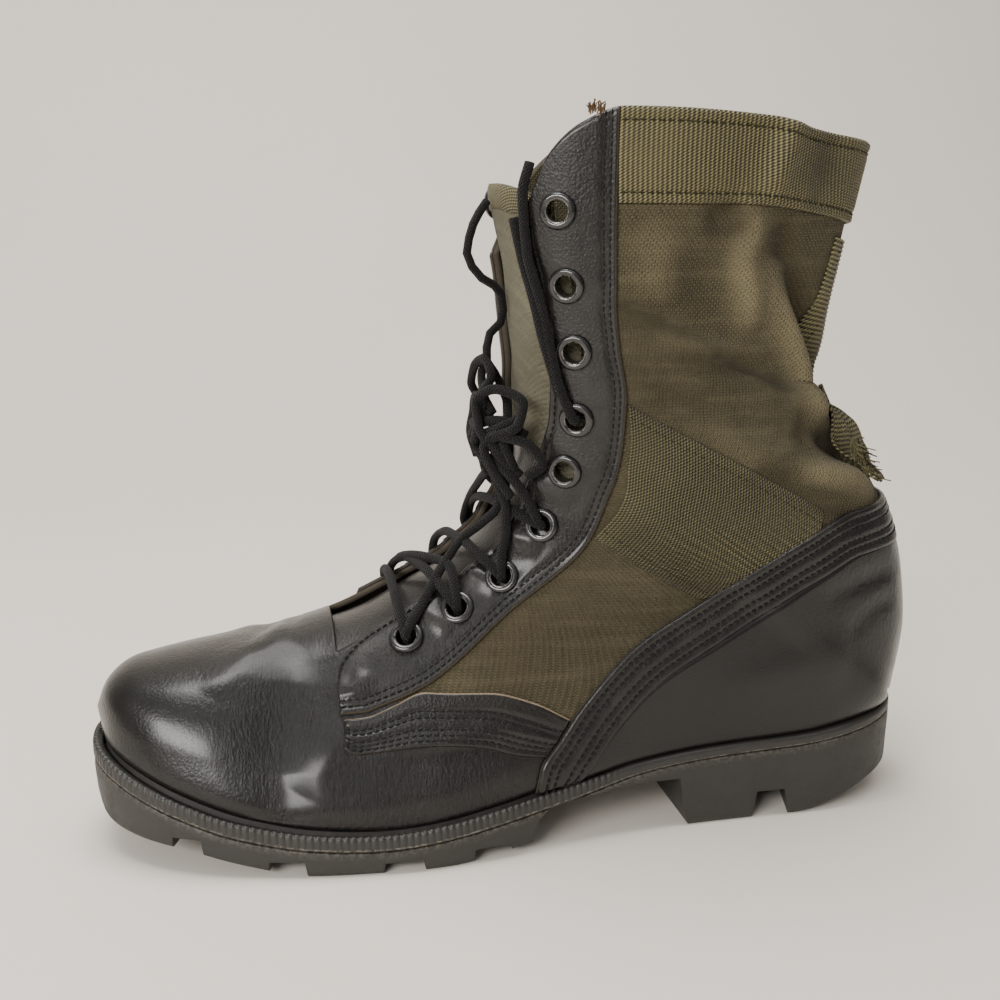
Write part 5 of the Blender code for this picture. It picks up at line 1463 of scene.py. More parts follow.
def build_vents(settings):
    """Two screened drain eyelets at the inner arch."""
    places, wires, wire_faces = [], [], []
    for row in VENTS:
        middle, normal = surface(row.section, row.turn)
        along = unit(surface(row.section + 0.05, row.turn)[0] - middle)
        across = unit(np.cross(normal, along))
        along = np.cross(across, normal)
        middle = middle + normal * relief(middle[None])[0]
        places.append((middle, normal, along))
        for turn_over in (along, across):
            beside_it = np.cross(normal, turn_over)
            for offset in np.linspace(-0.0020, 0.0020, 6):
                reach = np.sqrt(0.0026 ** 2 - offset ** 2)
                for thick in (-0.00012, 0.00012):
                    for high in (0.0, 0.00022):
                        for end in (-reach, reach):
                            wires.append(middle + turn_over * end + beside_it * (offset + thick)
                                         + normal * (0.0008 + high))
                first = len(wires) - 8
                for face in ((0, 1, 3, 2), (4, 6, 7, 5), (0, 4, 5, 1),
                             (2, 3, 7, 6), (0, 2, 6, 4), (1, 5, 7, 3)):
                    wire_faces.append(tuple(first + k for k in face))
    flange = 0.0050
    profile = [(0.0024, 0.0004)]
    wear = [0.3]
    for step in range(7):
        angle = np.pi * (1 - step / 6)
        profile.append((0.0037 + 0.0013 * np.cos(angle), 0.0008 + 0.0009 * np.sin(angle)))
        wear.append(0.9 if step in (1, 2, 3) else 0.3)
    profile.append((flange, 0.0004))
    wear.append(0.1)
    points, faces, worn = turned(places, profile, settings.ring_steps, wear)
    faces = faces + [tuple(index + len(points) for index in face) for face in wire_faces]
    worn = worn + [0.9] * len(wires)
    points = np.concatenate([points, wires])
    mesh = mesh_of("drain_eyelets", points, faces, weights={"edge": worn})
    outward(mesh)
    link("drain_eyelets", mesh, [shade_of("enamel")], ["vent_1", "vent_2"])


def build_tongue(settings):
    """Canvas tongue behind the throat, with its bound top. Its lower part gets the black leather finish as
    painted shade.
    """
    sections = even_sections(5.4, 21.15, settings.grid, (0.05,))
    halves = []
    for side in (-1, 1):
        edge = turn_at_width(sections, np.full_like(sections, TONGUE_HALF_WIDTH), side)
        shares = np.linspace(0, 1, 22)
        halves.append(side * edge[:, None] * shares)
    turn = np.concatenate([halves[0][:, ::-1], halves[1][:, 1:]], axis=1)
    section = np.repeat(sections[:, None], turn.shape[1], axis=1)
    base, normals = surface(section, turn)
    start, rear, foot, top = border_distance(base)
    near = -(UPPER_WALL + TONGUE_EASE)
    sway = 0.0004 * np.sin(foot / 0.011 + 40 * start) + 0.0003 * np.sin(foot / 0.006)
    lift = near + np.minimum(sway, 0.0006) - 0.0002
    outer = base + normals * lift[..., None]
    inner = base + normals * (lift - TONGUE_WALL)[..., None]
    uv = np.stack([start, foot], axis=-1)
    weights = None
    # The lower cells get the black leather finish: painted shade in the throat
    slots = (cell_means(section) < TONGUE_SHADE_TOP).astype(int)
    mesh = walled("tongue_cloth", outer, inner, None, uv, slots, 0, 0, weights, flip=True)
    shades = [shade_of("tongue_canvas"), shade_of("leather_matt")]
    link("tongue_finished", mesh, shades, ["tongue"])
    rows = top[:, 0] < 0.0105
    bound_lift = lift[rows] + 0.0007
    rim = np.minimum(np.minimum(start, rear)[rows], np.minimum(top[rows], 0.0105 - top[rows]))
    bound_lift = bound_lift - 0.0005 * (1 - fade(rim, 0.0007))
    mesh = walled("tongue_bound", base[rows] + normals[rows] * bound_lift[..., None],
                  base[rows] + normals[rows] * (lift[rows] - TONGUE_WALL - 0.0006)[..., None], None,
                  uv[rows], None, 0, 0, None, flip=True)
    link("tongue_binding", mesh, [shade_of("binding")], [])


def sole_stations(inset, count):
    """Places along the sole, close together at the round ends."""
    turn = np.linspace(0, np.pi, count)
    share = 0.55 * 0.5 * (1 - np.cos(turn)) + 0.45 * np.linspace(0, 1, count)
    return TOE_X + inset + share * (LENGTH - 2 * inset)


def plan_ring(inset, count):
    """Closed loop of plan points: outer side from toe to heel, then inner side back."""
    x = sole_stations(inset, count)
    outer = np.stack([x, -half_width(x, -1, inset)], axis=-1)
    inner = np.stack([x, half_width(x, 1, inset)], axis=-1)
    return np.concatenate([outer, inner[-2:0:-1]])


def ladder(first, count):
    """Faces across a plan ring whose points start at number first."""
    ring = 2 * count - 2
    faces = [(first, first + 1, first + ring - 1)]
    for i in range(1, count - 2):
        faces.append((first + i, first + i + 1, first + ring - i - 1, first + ring - i))
    faces.append((first + count - 2, first + count - 1, first + count))
    return faces


def ring_walls(rings, count):
    """Closed body through plan rings of equal size, with a ladder over the first and last."""
    size = 2 * count - 2
    faces = [face[::-1] for face in ladder(0, count)]
    for level in range(len(rings) - 1):
        for i in range(size):
            j = (i + 1) % size
            low, high = level * size, (level + 1) * size
            faces.append((low + i, low + j, high + j, high + i))
    faces += ladder((len(rings) - 1) * size, count)
    return np.concatenate(rings), faces


def welt_thickness(x, inset):
    along = (np.asarray(x, float) - TOE_X - inset) / (LENGTH - 2 * inset)
    return curve((0, 0.52, 0.68, 1.0), (WELT_THICK, WELT_THICK, WELT_HEEL_THICK, WELT_HEEL_THICK), along)


def build_insole():
    """Cloth-covered footbed with a rounded rim."""
    inset = WELT_WIDTH + UPPER_WALL + INSOLE_EASE
    count, rings = 90, []
    for drop, extra in ((0.0, 0.0006), (0.0005, 0.0), (0.0022, 0.0)):
        ring = plan_ring(inset + extra, count)
        rings.append(np.column_stack([ring, side_height(ring[:, 0], "seat", inset + extra)
                                      + INSOLE_THICK - drop]))
    low = rings[-1].copy()
    low[:, 2] -= INSOLE_THICK - 0.0022
    points, faces = ring_walls(rings + [low], count)
    mesh = mesh_of("footbed", points, faces, points[:, :2])
    outward(mesh)
    link("footbed", mesh, [shade_of("footbed")], ["insole"])


def cut_body(name, points, faces):
    mesh = bpy.data.meshes.new(name)
    mesh.from_pydata([tuple(point) for point in np.asarray(points) - CENTRE], [], faces)
    outward(mesh)
    made = bpy.data.objects.new(name, mesh)
    bpy.context.scene.collection.objects.link(made)
    return made


def channel_body(channel, side):
    """Slanted groove from the middle of the tread out through the side wall."""
    middle = TOE_X + channel.along * LENGTH
    floor = side_height(middle, "tread", 0.0)
    depth = HEEL_CHANNEL_DEPTH if channel.heel else LUG_DEPTH
    slope = HEEL_CHANNEL_SLOPE if channel.heel else LUG_SLOPE
    half = 0.5 * channel.width * LENGTH
    top, bottom = floor + depth, -LUG_DEPTH
    sections = []
    for reach in (channel.start, channel.end):
        y = side * reach * BALL_WIDTH
        x = middle + channel.slant * (reach - channel.end) * BALL_WIDTH
        sections.append([(x - half - slope, y, bottom), (x - half, y, top),
                         (x + half, y, top), (x + half + slope, y, bottom)])
    faces = [(0, 1, 2, 3), (7, 6, 5, 4), (0, 4, 5, 1), (1, 5, 6, 2), (2, 6, 7, 3), (3, 7, 4, 0)]
    return sections[0] + sections[1], faces


def arch_body():
    """Hollow under the waist between the forefoot tread and the heel breast."""
    line = rounded([(row.along, row.height) for row in ARCH[1:-2]], 14)
    line = [(ARCH[0].along, ARCH[0].height), *line, *[(row.along, row.height) for row in ARCH[-2:]]]
    outline = [(TOE_X + along * LENGTH, height * HEEL_HEIGHT) for along, height in line]
    count = len(outline)
    points = [(x, -BALL_WIDTH, z) for x, z in outline] + [(x, BALL_WIDTH, z) for x, z in outline]
    faces = [tuple(range(count)), tuple(range(2 * count - 1, count - 1, -1))]
    for i in range(count):
        j = (i + 1) % count
        faces.append((i, i + count, j + count, j))
    return points, faces


def build_outsole(settings):
    """Moulded sole: side wall with rounded rims, chevron lugs, arch hollow, heel notches."""
    count = settings.sole_stations
    rings = []
    step = WELT_WIDTH + GAP
    inner = plan_ring(step, count)
    rings.append(np.column_stack([inner, side_height(inner[:, 0], "seat", step) - GAP]))
    seat = side_height(inner[:, 0], "seat", step) - 2 * GAP - welt_thickness(inner[:, 0], step)
    rings.append(np.column_stack([inner, seat]))
    for inset, drop in ((0.0006, 0.0), (0.00018, 0.00018), (0.0, 0.0006), (0.0, 0.0030)):
        ring = plan_ring(inset, count)
        under = side_height(ring[:, 0], "seat", inset) - 2 * GAP - welt_thickness(ring[:, 0], inset)
        rings.append(np.column_stack([ring, under - drop]))
    for turn in np.linspace(0, 1, 5):
        inset = WALL_DRAFT + 0.7 * TREAD_EDGE * (1 - np.cos(0.5 * np.pi * turn))
        ring = plan_ring(inset, count)
        rise = TREAD_EDGE * (1 - np.sin(0.5 * np.pi * turn))
        rings.append(np.column_stack([ring, side_height(ring[:, 0], "tread", inset) + rise]))
    points, faces = ring_walls(rings, count)
    sole = cut_body("outsole_finished", points, faces)
    bodies = [cut_body("arch_cut", *arch_body())]
    for channel in CHANNELS:
        for side in (-1, 1):
            bodies.append(cut_body("lug_cut", *channel_body(channel, side)))
    for body in bodies:
        change = sole.modifiers.new(body.name, "BOOLEAN")
        change.operation = "DIFFERENCE"
        change.solver = "EXACT"
        change.object = body
    rounding = sole.modifiers.new("rounding", "BEVEL")
    rounding.width = 0.0005
    rounding.segments = 2
    rounding.limit_method = "ANGLE"
    rounding.angle_limit = 0.85
    mesh = applied(sole)
    for body in bodies:
        bpy.data.objects.remove(body)
    heights = np.zeros(3 * len(mesh.vertices))
    mesh.vertices.foreach_get("co", heights)
    places = heights.reshape(-1, 3) + CENTRE
    under = side_height(places[:, 0], "seat", 0.0) - welt_thickness(places[:, 0], 0.0)
    worn = np.exp(-np.abs(places[:, 2] - under + 0.0006) / 0.0007)
    worn = np.maximum(0.4 * worn, 0.15 * np.exp(-places[:, 2] / 0.0012))
    layer = mesh.attributes.new("edge", "FLOAT", "POINT")
    layer.data.foreach_set("value", worn.astype(np.float32))
    bpy.data.objects.remove(sole)
    link("outsole_finished", mesh, [shade_of("rubber")], ["outsole"])
    mesh.set_sharp_from_angle(angle=0.6)


def applied(thing):
    """Mesh of an object with its modifiers carried out."""
    bpy.context.view_layer.update()
    evaluated = thing.evaluated_get(bpy.context.evaluated_depsgraph_get())
    mesh = bpy.data.meshes.new_from_object(evaluated)
    thing.modifiers.clear()
    return mesh


def build_welt():
    """Welt with radial ribs round the forefoot, smooth at the heel."""
    inset = WELT_WIDTH - 0.0002
    dense = plan_ring(0.0, 400)
    loop = np.vstack([dense, dense[:1]])
    runs = lengths(loop)
    count = int(runs[-1] / 0.00045)
    at = np.arange(count) * runs[-1] / count
    outer = np.stack([np.interp(at, runs, loop[:, k]) for k in (0, 1)], axis=-1)
    ahead = np.roll(outer, -2, axis=0) - np.roll(outer, 2, axis=0)
    out = unit(np.stack([ahead[:, 1], -ahead[:, 0]], axis=-1))
    share = (outer[:, 0] - TOE_X) / LENGTH
    ribbed = np.clip((RIB_END + 0.10 - share) / 0.03, 0, 1)
    wave = 0.5 - 0.5 * np.cos(2 * np.pi * at / 0.0024)
    dent = ribbed * np.where(wave < 0.55, 0.55 - wave, 0.0) / 0.55
    top = side_height(outer[:, 0], "seat", 0.0) - GAP
    thick = welt_thickness(outer[:, 0], 0.0)
    rows = []
    profile = (
        (inset - 0.0001, -0.25, 0.0), (0.0030, -0.02, 0.0), (0.0026, 0.0, 0.4), (0.0012, 0.0, 1.0),
        (0.0004, -0.06, 1.0), (0.0, -0.20, 1.0), (0.0, -0.50, 1.0), (0.0, -0.78, 0.7),
        (0.0, -0.86, 0.0), (0.00025, -0.98, 0.0), (0.0012, -1.0, 0.0), (inset - 0.0001, -1.0, 0.0))
    for back, level, depth in profile:
        cut = dent * depth * 0.00045
        ring = outer - out * (back + (cut if level < -0.05 else 0 * cut))[:, None]
        drop = 0.0008 * ribbed * (1 if -0.1 < level <= 0 else 0) * (back > 0.0025)
        height = top + level * thick - (cut if level >= -0.06 else 0 * cut) - drop
        rows.append(np.column_stack([ring, height]))
    size, levels = count, len(rows)
    points = np.concatenate(rows)
    ids = np.arange(size * levels).reshape(levels, size)
    after = np.roll(ids, -1, axis=1)
    below, below_after = np.roll(ids, -1, axis=0), np.roll(after, -1, axis=0)
    faces = np.stack([ids, after, below_after, below], axis=-1).reshape(-1, 4)
    worn = np.zeros((levels, size))
    worn[8] = 0.7
    mesh = mesh_of("welt_ribbed", points, faces, weights={"edge": worn.ravel()})
    outward(mesh)
    link("welt_finished", mesh, [shade_of("welt_rubber")], ["welt"])


def tube(path, width, thick, ups, sides=12):
    """Flat cord along a path, its wide side square to the given directions."""
    path = np.asarray(path, float)
    run = unit(np.gradient(path, axis=0))
    ups = np.broadcast_to(np.asarray(ups, float), path.shape)
    across = unit(np.cross(run, ups))
    up = np.cross(across, run)
    angles = 2 * np.pi * np.arange(sides) / sides
    rings = []
    for angle in angles:
        aside = across * (0.5 * width * np.cos(angle))
        rings.append(path + aside + up * (0.5 * thick * np.sin(angle)))
    grid = np.stack(rings, axis=1)
    count = len(path)
    ids = np.arange(count * sides).reshape(count, sides)
    right = np.roll(ids, -1, axis=1)
    faces = np.stack([ids[:-1], right[:-1], right[1:], ids[1:]], axis=-1).reshape(-1, 4).tolist()
    faces.append(list(ids[0])[::-1])
    faces.append(list(ids[-1]))
    runs = lengths(path)
    uv = np.stack(np.broadcast_arrays(runs[:, None], (angles * 0.25 * (width + thick))[None]), axis=-1)
    return grid.reshape(-1, 3), faces, uv.reshape(-1, 2)


@lru_cache(maxsize=None)
def throat_skin():
    """Points and normals of the form about the throat."""
    points, normals = surface(*np.meshgrid(np.linspace(5.5, 23, 140), np.linspace(-0.45, 0.45, 37)))
    return points.reshape(-1, 3), normals.reshape(-1, 3)


def skin_normals(path):
    """Normals of the form nearest to a path's points, evened out along it."""
    points, normals = throat_skin()
    nearest = np.argmin(np.linalg.norm(path[:, None] - points[None], axis=-1), axis=1)
    found = normals[nearest]
    for _ in range(6):
        before = np.concatenate([found[:1], found[:-1]])
        after = np.concatenate([found[1:], found[-1:]])
        found = unit(before + 2 * found + after)
    return found


def lace_shape(name, paths, settings):
    """One mesh of several lace strands, flat side to the leather."""
    points, faces, places, start = [], [], [], 0
    for path in paths:
        path = np.asarray(path)
        part, part_faces, uv = tube(path, settings.lace_width, settings.lace_thick, skin_normals(path))
        faces += [tuple(index + start for index in face) for face in part_faces]
        points.append(part)
        places.append(uv)
        start += len(part)
    return mesh_of(name, np.concatenate(points), faces, np.concatenate(places))


def strand(first, last, rise, dive=0.0016, steps=30):
    """Lace from one eyelet over the throat to another, out of one hole and into the next."""
    ends = []
    for section, side in (first, last):
        middle, normal, _, turn = eyelet_place(section, side)
        ends.append((middle + normal * relief(middle[None])[0], normal, turn, section))
    (start, up_start, turn_start, section_start), (end, up_end, turn_end, section_end) = ends
    guide = [start - up_start * dive, start + up_start * 0.0026]
    for share in (0.16, 0.34, 0.5, 0.66, 0.84):
        section = section_start + (section_end - section_start) * share
        turn = turn_start + (turn_end - turn_start) * share
        lift = rise * (1 - (2 * share - 1) ** 2) + 0.0048
        guide.append(over(section, turn, lift))
    guide += [end + up_end * 0.0026, end - up_end * dive]
    return rounded(guide, steps)


RUNS = (
    (0, -1, ((7.45, -0.235, 0.0040), (7.79, -0.175, 0.0045), (8.14, -0.135, 0.0050), (8.60, -0.105, 0.0055),
             (9.24, -0.115, 0.0055), (9.82, -0.125, 0.0065), (10.4, -0.115, 0.0080), (11.0, -0.085, 0.0095))),
    (1, -1, ((8.15, -0.190, 0.0042), (8.12, -0.130, 0.0045), (7.81, -0.060, 0.0050), (7.50, 0.040, 0.0050),
             (7.37, 0.100, 0.0040))),
    (5, -1, ((14.95, -0.218, 0.0042), (15.6, -0.208, 0.0046), (16.8, -0.202, 0.0052), (18.2, -0.198, 0.0048),
             (19.9, -0.196, 0.0042), (21.2, -0.190, 0.0030), (21.8, -0.196, 0.0002))),
    (2, -1, ((9.10, -0.225, 0.0045), (9.50, -0.185, 0.0055), (9.95, -0.150, 0.0070), (10.5, -0.115, 0.0100))),
    (3, -1, ((10.35, -0.205, 0.0050), (10.6, -0.165, 0.0065), (10.9, -0.130, 0.0085),
             (11.2, -0.080, 0.0105))),
    (2, 1, ((8.95, 0.150, 0.0045), (9.30, 0.080, 0.0055), (9.90, 0.000, 0.0070), (10.6, -0.070, 0.0095))),
    (3, 1, ((10.2, 0.130, 0.0050), (10.6, 0.070, 0.0070), (11.0, 0.000, 0.0100))),
)
KNOT = (
    ((10.3, -0.150, 0.0075), (10.9, -0.105, 0.0120), (11.6, -0.085, 0.0140), (12.3, -0.100, 0.0120),
     (12.5, -0.150, 0.0080), (11.9, -0.185, 0.0065), (11.2, -0.165, 0.0080)),
    ((10.8, -0.020, 0.0100), (11.6, 0.030, 0.0120), (12.6, 0.060, 0.0110), (13.3, 0.020, 0.0100),
     (13.2, -0.050, 0.0110), (12.4, -0.060, 0.0140), (11.6, -0.050, 0.0140)),
    ((11.5, -0.110, 0.0090), (12.4, -0.075, 0.0150), (13.4, -0.060, 0.0145), (14.2, -0.090, 0.0100),
     (14.0, -0.140, 0.0070), (13.0, -0.135, 0.0090), (12.2, -0.100, 0.0130)),
    ((13.0, 0.040, 0.0080), (13.9, 0.030, 0.0110), (14.7, 0.010, 0.0100), (15.1, -0.030, 0.0080),
     (14.5, -0.060, 0.0080), (13.7, -0.040, 0.0100)),
    ((9.6, -0.165, 0.0046), (10.5, -0.120, 0.0070), (11.3, -0.095, 0.0090), (12.1, -0.070, 0.0085),
     (12.9, -0.020, 0.0070)),
    ((11.0, -0.145, 0.0060), (11.6, -0.090, 0.0110), (12.1, -0.020, 0.0115), (12.0, 0.050, 0.0085)),
    ((10.6, 0.060, 0.0060), (11.2, 0.000, 0.0105), (11.9, -0.060, 0.0120), (12.6, -0.100, 0.0100),
     (13.2, -0.130, 0.0060)),
    ((12.8, -0.060, 0.0080), (13.6, -0.040, 0.0095), (14.4, -0.020, 0.0075), (14.9, 0.010, 0.0050)),
    ((10.2, -0.120, 0.0060), (10.9, -0.060, 0.0100), (11.6, -0.030, 0.0135), (12.3, -0.045, 0.0125),
     (12.8, -0.095, 0.0085), (12.6, -0.140, 0.0055)),
)


def build_lace(settings):
    """Laced rows through four pairs of eyelets, the knot, and the free ends."""
    rows = []
    outer = [(section, -1) for section in EYELETS[:LACED]]
    inner = [(section, 1) for section in EYELETS[:LACED]]
    rows.append(strand(outer[0], inner[0], -0.0020))
    rows += [strand(inner[number], outer[number + 1], -0.0008) for number in range(LACED - 1)]
    for number, side, path in RUNS:
        middle, normal, _, _ = eyelet_place(EYELETS[number], side)
        middle = middle + normal * relief(middle[None])[0]
        guide = [middle - normal * 0.0016, middle + normal * 0.0030, *[over(*place) for place in path]]
        rows.append(rounded(guide, 7 * len(guide)))
    rows += [rounded([over(*place) for place in path], 8 * len(path)) for path in KNOT]
    mesh = lace_shape("laced_rows", rows, settings)
    link("lace_rows_and_knot", mesh, [shade_of("lace")], ["lace_crossings"])
    for name, node, table in (("lace_bow_loop", "lace_bow", BOW), ("lace_loose_end", "lace_end", END_SIDE)):
        guide = [over(row.section, row.turn, row.lift) for row in table]
        path = rounded(guide, 38)
        if name == "lace_bow_loop":
            path = path[::-1]
        mesh = lace_shape(name, [path], settings)
        piece = link(name, mesh, [shade_of("lace")], [node])


def area_light(name, place, aim, size, power, tint=(1.0, 1.0, 1.0)):
    lamp = bpy.data.lights.new(name, "AREA")
    lamp.shape = "RECTANGLE"
    lamp.size, lamp.size_y = size
    lamp.energy = power
    lamp.color = tint
    made = bpy.data.objects.new(name, lamp)
    made.location = place
    made.rotation_euler = (Vector(aim) - Vector(place)).to_track_quat("-Z", "Y").to_euler()
    bpy.context.scene.collection.objects.link(made)
    return made


def build_stage(settings):
    """Pale floor, soft daylight from the upper left, and the photograph's camera."""
    mesh = bpy.data.meshes.new("floor")
    reach, rise, bend, wall = 4.0, 3.0, 0.7, 1.3
    line = [(-reach, 0.0)]
    for step in range(13):
        angle = 0.5 * np.pi * step / 12
        line.append((wall - bend + bend * np.sin(angle), bend - bend * np.cos(angle)))
    line.append((wall, rise))
    points = [(x, y, z) for y, z in line for x in (-reach, reach)]
    faces = [(2 * k, 2 * k + 1, 2 * k + 3, 2 * k + 2) for k in range(len(line) - 1)]
    mesh.from_pydata(points, [], faces)
    mesh.shade_smooth()
    floor = bpy.data.objects.new("floor", mesh)
    bpy.context.scene.collection.objects.link(floor)
    pale = Finish("pale_floor", (0.80, 0.75, 0.69), 0.70, {"Specular IOR Level": 0.25})
    pale.mix(pale.noise(5, 3, 0.5), (0.76, 0.71, 0.65))
    mesh.materials.append(pale.made())
    world = bpy.data.worlds.new("studio")
    world.use_nodes = True
    tree = world.node_tree
    sky = tree.nodes["Background"]
    aim = put(tree, "ShaderNodeTexCoord", None, "Generated")
    high = put(tree, "ShaderNodeSeparateXYZ", {0: aim}, 2).step(-0.1, 0.9, 0.25 * settings.sky, settings.sky)
    tree.links.new(high.socket, sky.inputs[1])
    sky.inputs[0].default_value = colour(0.90, 0.88, 0.86)
    bpy.context.scene.world = world
    warm, pale = (1.0, 0.97, 0.93), (1.0, 0.98, 0.95)
    area_light("window", (-1.00, -1.15, 0.72), (-0.03, 0.0, 0.06), (0.9, 0.4), settings.window, warm)
    area_light("overhead", (-0.15, 0.15, 1.45), (0.0, 0.0, 0.1), (0.9, 0.6), settings.overhead, pale)
    area_light("backdrop", (0.0, -0.2, 2.2), (0.0, 1.3, 0.9), (2.0, 0.6), settings.fill, pale)
    camera = bpy.data.cameras.new("camera")
    camera.sensor_width = 36.0
    camera.lens = settings.lens
    eye = bpy.data.objects.new("camera", camera)
    eye.location = settings.eye
    eye.rotation_euler = (np.pi / 2 - settings.tilt, 0.0, settings.pan)
    bpy.context.scene.collection.objects.link(eye)
    bpy.context.scene.camera = eye


def shade_of(finish):
    """Material of a finish, made once."""
    name = "finish_" + finish
    if name in bpy.data.materials:
        return bpy.data.materials[name]
    looks = bpy.context.scene.boot_finishes
    canvas, webbing, pitch = tuple(looks.canvas), tuple(looks.webbing), looks.thread_pitch
    makers = {
        "leather": (leather_shade, looks, 0.30, 0.45, 0.04),
        "leather_matt": (leather_shade, looks, 0.34, 1.0, 0.30),
        "canvas": (woven_shade, canvas, pitch, 0.22, 0.40, 0.55),
        "lining": (woven_shade, toned(canvas, 0.9), pitch, 0.5, 0.3, 0.0),
        "tongue_canvas": (woven_shade, tuple(looks.tongue), pitch, 0.34, 0.15, 0.0),
        "footbed": (woven_shade, (0.10, 0.09, 0.07), 0.0016, 0.5, 0.5, 0.0),
        "ankle_ribs": (ribbed_shade, toned(webbing, 0.62), 0.0012, 0.0011, 0.30),
        "cuff_braid": (ribbed_shade, webbing, 0.0016, 0.0010, 0.35),
        "stay_ribs": (ribbed_shade, webbing, 0.0016, 0.0012, 0.30),
        "binding": (ribbed_shade, webbing, 0.0010, 0.0010, 0.15),
        "rubber": (rubber_shade, looks, 0.50),
        "welt_rubber": (rubber_shade, looks, 0.36),
        "enamel": (enamel_shade,),
        "lace": (thread_shade, (0.0085, 0.0080, 0.0080), 0.0014, 0.12),
        "black_thread": (thread_shade, (0.030, 0.029, 0.028), 0.0006, 0.5),
        "olive_thread": (thread_shade, (0.060, 0.054, 0.026), 0.0006, 0.2),
        "cut_edge": (raw_shade, (0.085, 0.070, 0.052), 0.0003),
        "tan_edge": (raw_shade, (0.34, 0.26, 0.17), 0.0003),
        "frayed_thread": (raw_shade, (0.17, 0.15, 0.075), 0.0002),
        "brown_fibre": (raw_shade, (0.22, 0.14, 0.075), 0.0002),
    }
    maker, *values = makers[finish]
    return maker(name, *values)


class BootFinishes(bpy.types.PropertyGroup):
    """Colours and weave of the boot's materials"""

    leather: bpy.props.FloatVectorProperty(
        name="Leather", description="Colour of the polished leather", subtype="COLOR",
        default=(0.0075, 0.0068, 0.0062), min=0.0, max=1.0)
    polish: bpy.props.FloatProperty(
        name="Polish", description="Strength of the polish over the leather", subtype="FACTOR",
        default=0.35, min=0.0, max=1.0)
    canvas: bpy.props.FloatVectorProperty(
        name="Canvas", description="Colour of the shaft's cloth", subtype="COLOR",
        default=(0.094, 0.081, 0.048), min=0.0, max=1.0)
    tongue: bpy.props.FloatVectorProperty(
        name="Tongue", description="Colour of the tongue's cloth", subtype="COLOR",
        default=(0.165, 0.155, 0.105), min=0.0, max=1.0)
    webbing: bpy.props.FloatVectorProperty(
        name="Webbing", description="Colour of the bands", subtype="COLOR",
        default=(0.135, 0.118, 0.052), min=0.0, max=1.0)
    rubber: bpy.props.FloatVectorProperty(
        name="Rubber", description="Colour of the sole", subtype="COLOR",
        default=(0.021, 0.020, 0.018), min=0.0, max=1.0)
    thread_pitch: bpy.props.FloatProperty(
        name="Thread pitch", description="Distance from thread to thread of the canvas", unit="LENGTH",
        subtype="DISTANCE", default=0.0009, min=0.0004, max=0.003)


class BootShapes(bpy.types.PropertyGroup):
    """Fineness and small sizes of the boot's pieces"""

    grid: bpy.props.FloatProperty(
        name="Grid", description="Distance between points of the upper's skin", unit="LENGTH",
        subtype="DISTANCE", default=0.0017, min=0.001, max=0.01)
    sole_stations: bpy.props.IntProperty(
        name="Sole stations", description="Stations along each side of the sole",
        default=120, min=34, max=300)
    ring_steps: bpy.props.IntProperty(
        name="Ring steps", description="Steps round each eyelet", default=40, min=12, max=96)
    stitch_pitch: bpy.props.FloatProperty(
        name="Stitch pitch", description="Distance from stitch to stitch in the leather", unit="LENGTH",
        subtype="DISTANCE", default=0.0025, min=0.001, max=0.006)
    lace_width: bpy.props.FloatProperty(
        name="Lace width", description="Width of the flat lace", unit="LENGTH", subtype="DISTANCE",
        default=0.0036, min=0.002, max=0.01)
    lace_thick: bpy.props.FloatProperty(
        name="Lace thickness", description="Thickness of the flat lace", unit="LENGTH", subtype="DISTANCE",
        default=0.0031, min=0.001, max=0.01)


class BootStage(bpy.types.PropertyGroup):
    """Camera and light"""

    lens: bpy.props.FloatProperty(
        name="Lens", description="Focal length in millimetres", default=48.6, min=10.0, max=200.0)
    eye: bpy.props.FloatVectorProperty(
        name="Camera place", description="Where the camera stands", unit="LENGTH", subtype="TRANSLATION",
        default=(-0.0968, -0.4724, 0.2192))
    pan: bpy.props.FloatProperty(
        name="Pan", description="Turn of the camera about the vertical", unit="ROTATION", subtype="ANGLE",
        default=-0.19199)
    tilt: bpy.props.FloatProperty(
        name="Tilt", description="How far the camera looks down", unit="ROTATION", subtype="ANGLE",
        default=0.20944)
    sky: bpy.props.FloatProperty(
        name="Sky", description="Strength of the even light", default=0.60, min=0.0, max=5.0)
    window: bpy.props.FloatProperty(
        name="Window", description="Power of the light at the upper left", default=26.0, min=0.0, max=500.0)
    overhead: bpy.props.FloatProperty(
        name="Overhead", description="Power of the light above", default=16.0, min=0.0, max=500.0)
    fill: bpy.props.FloatProperty(
        name="Fill", description="Power of the light in front", default=20.0, min=0.0, max=500.0)


class BOOT_OT_stage(bpy.types.Operator):
    """Place the floor, the lights and the camera"""

    bl_idname = "boot.stage"
    bl_label = "Stage"

    def execute(self, context):
        build_stage(context.scene.boot_stage)
        return {"FINISHED"}


class BOOT_OT_lace(bpy.types.Operator):
    """Lace the boot and lay the knot, the loop and the loose end"""

    bl_idname = "boot.lace"
    bl_label = "Lace"

    def execute(self, context):
        build_lace(context.scene.boot_shapes)
        return {"FINISHED"}


class BOOT_OT_upper(bpy.types.Operator):
    """Build the leather foot and the canvas shaft as one hollow upper"""

    bl_idname = "boot.upper"
    bl_label = "Upper"

    def execute(self, context):
        build_upper(context.scene.boot_shapes)
        return {"FINISHED"}


class BOOT_OT_leather_panels(bpy.types.Operator):
    """Lay and sew the facings, quarter strips, counter band and heel piece"""

    bl_idname = "boot.leather_panels"
    bl_label = "Leather panels"

    def execute(self, context):
        shapes = context.scene.boot_shapes
        seams = []
        for side in (-1, 1):
            seams += build_facing(side, shapes) + build_wing(side)
        sew("counter_stitches", build_counter(), shapes.stitch_pitch, 0.0007, "black_thread")
        sew("facing_and_strip_stitches", seams, shapes.stitch_pitch, 0.0006, "black_thread")
        return {"FINISHED"}


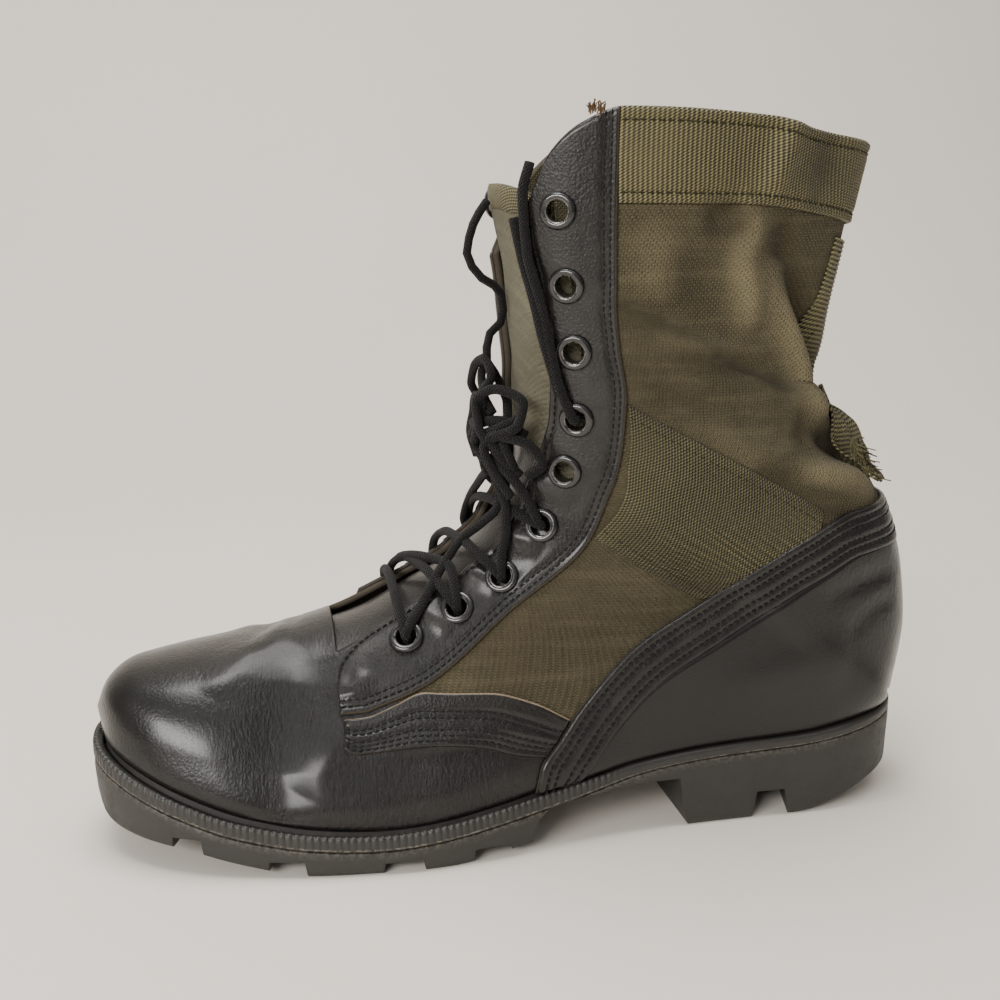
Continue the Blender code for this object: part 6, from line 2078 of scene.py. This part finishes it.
class BOOT_OT_webbing(bpy.types.Operator):
    """Lay and sew the ankle bands, the cuff and the backstay"""

    bl_idname = "boot.webbing"
    bl_label = "Webbing"

    def execute(self, context):
        seams = build_ankle_webbing(-1) + build_ankle_webbing(1) + build_cuff() + build_backstay()
        sew("webbing_stitches", seams, 0.0030, 0.0006, "olive_thread")
        build_frays()
        build_flap()
        return {"FINISHED"}


class BOOT_OT_eyelets(bpy.types.Operator):
    """Set the eyelets and the drain eyelets"""

    bl_idname = "boot.eyelets"
    bl_label = "Eyelets"

    def execute(self, context):
        for side in (-1, 1):
            build_eyelets(side, context.scene.boot_shapes)
        build_vents(context.scene.boot_shapes)
        return {"FINISHED"}


class BOOT_OT_tongue(bpy.types.Operator):
    """Hang the tongue with its bound top behind the throat"""

    bl_idname = "boot.tongue"
    bl_label = "Tongue"

    def execute(self, context):
        build_tongue(context.scene.boot_shapes)
        return {"FINISHED"}


class BOOT_OT_sole(bpy.types.Operator):
    """Build the lug sole, the welt and the footbed"""

    bl_idname = "boot.sole"
    bl_label = "Sole"

    def execute(self, context):
        build_outsole(context.scene.boot_shapes)
        build_welt()
        build_insole()
        return {"FINISHED"}


STEPS = ("stage", "lace", "upper", "tongue", "leather_panels", "webbing", "eyelets", "sole")


class BOOT_PT_panel(bpy.types.Panel):
    """Pieces and settings of the boot"""

    bl_idname = "BOOT_PT_panel"
    bl_label = "Jungle boot"
    bl_space_type = "VIEW_3D"
    bl_region_type = "UI"
    bl_category = "Boot"

    def draw(self, context):
        for step in STEPS:
            self.layout.operator("boot." + step)
        for group in (context.scene.boot_finishes, context.scene.boot_shapes, context.scene.boot_stage):
            for key in group.__annotations__:
                self.layout.prop(group, key)


CLASSES = (
    BootFinishes, BootShapes, BootStage, BOOT_OT_stage, BOOT_OT_lace, BOOT_OT_upper, BOOT_OT_tongue,
    BOOT_OT_leather_panels, BOOT_OT_webbing, BOOT_OT_eyelets, BOOT_OT_sole, BOOT_PT_panel)
GROUPS = {"boot_finishes": BootFinishes, "boot_shapes": BootShapes, "boot_stage": BootStage}


def register():
    for cls in CLASSES:
        bpy.utils.register_class(cls)
    for key, group in GROUPS.items():
        setattr(bpy.types.Scene, key, bpy.props.PointerProperty(type=group))


def unregister():
    for key in GROUPS:
        delattr(bpy.types.Scene, key)
    for cls in reversed(CLASSES):
        bpy.utils.unregister_class(cls)


def main():
    register()
    for step in STEPS:
        getattr(bpy.ops.boot, step)()


if __name__ == "__main__":
    main()
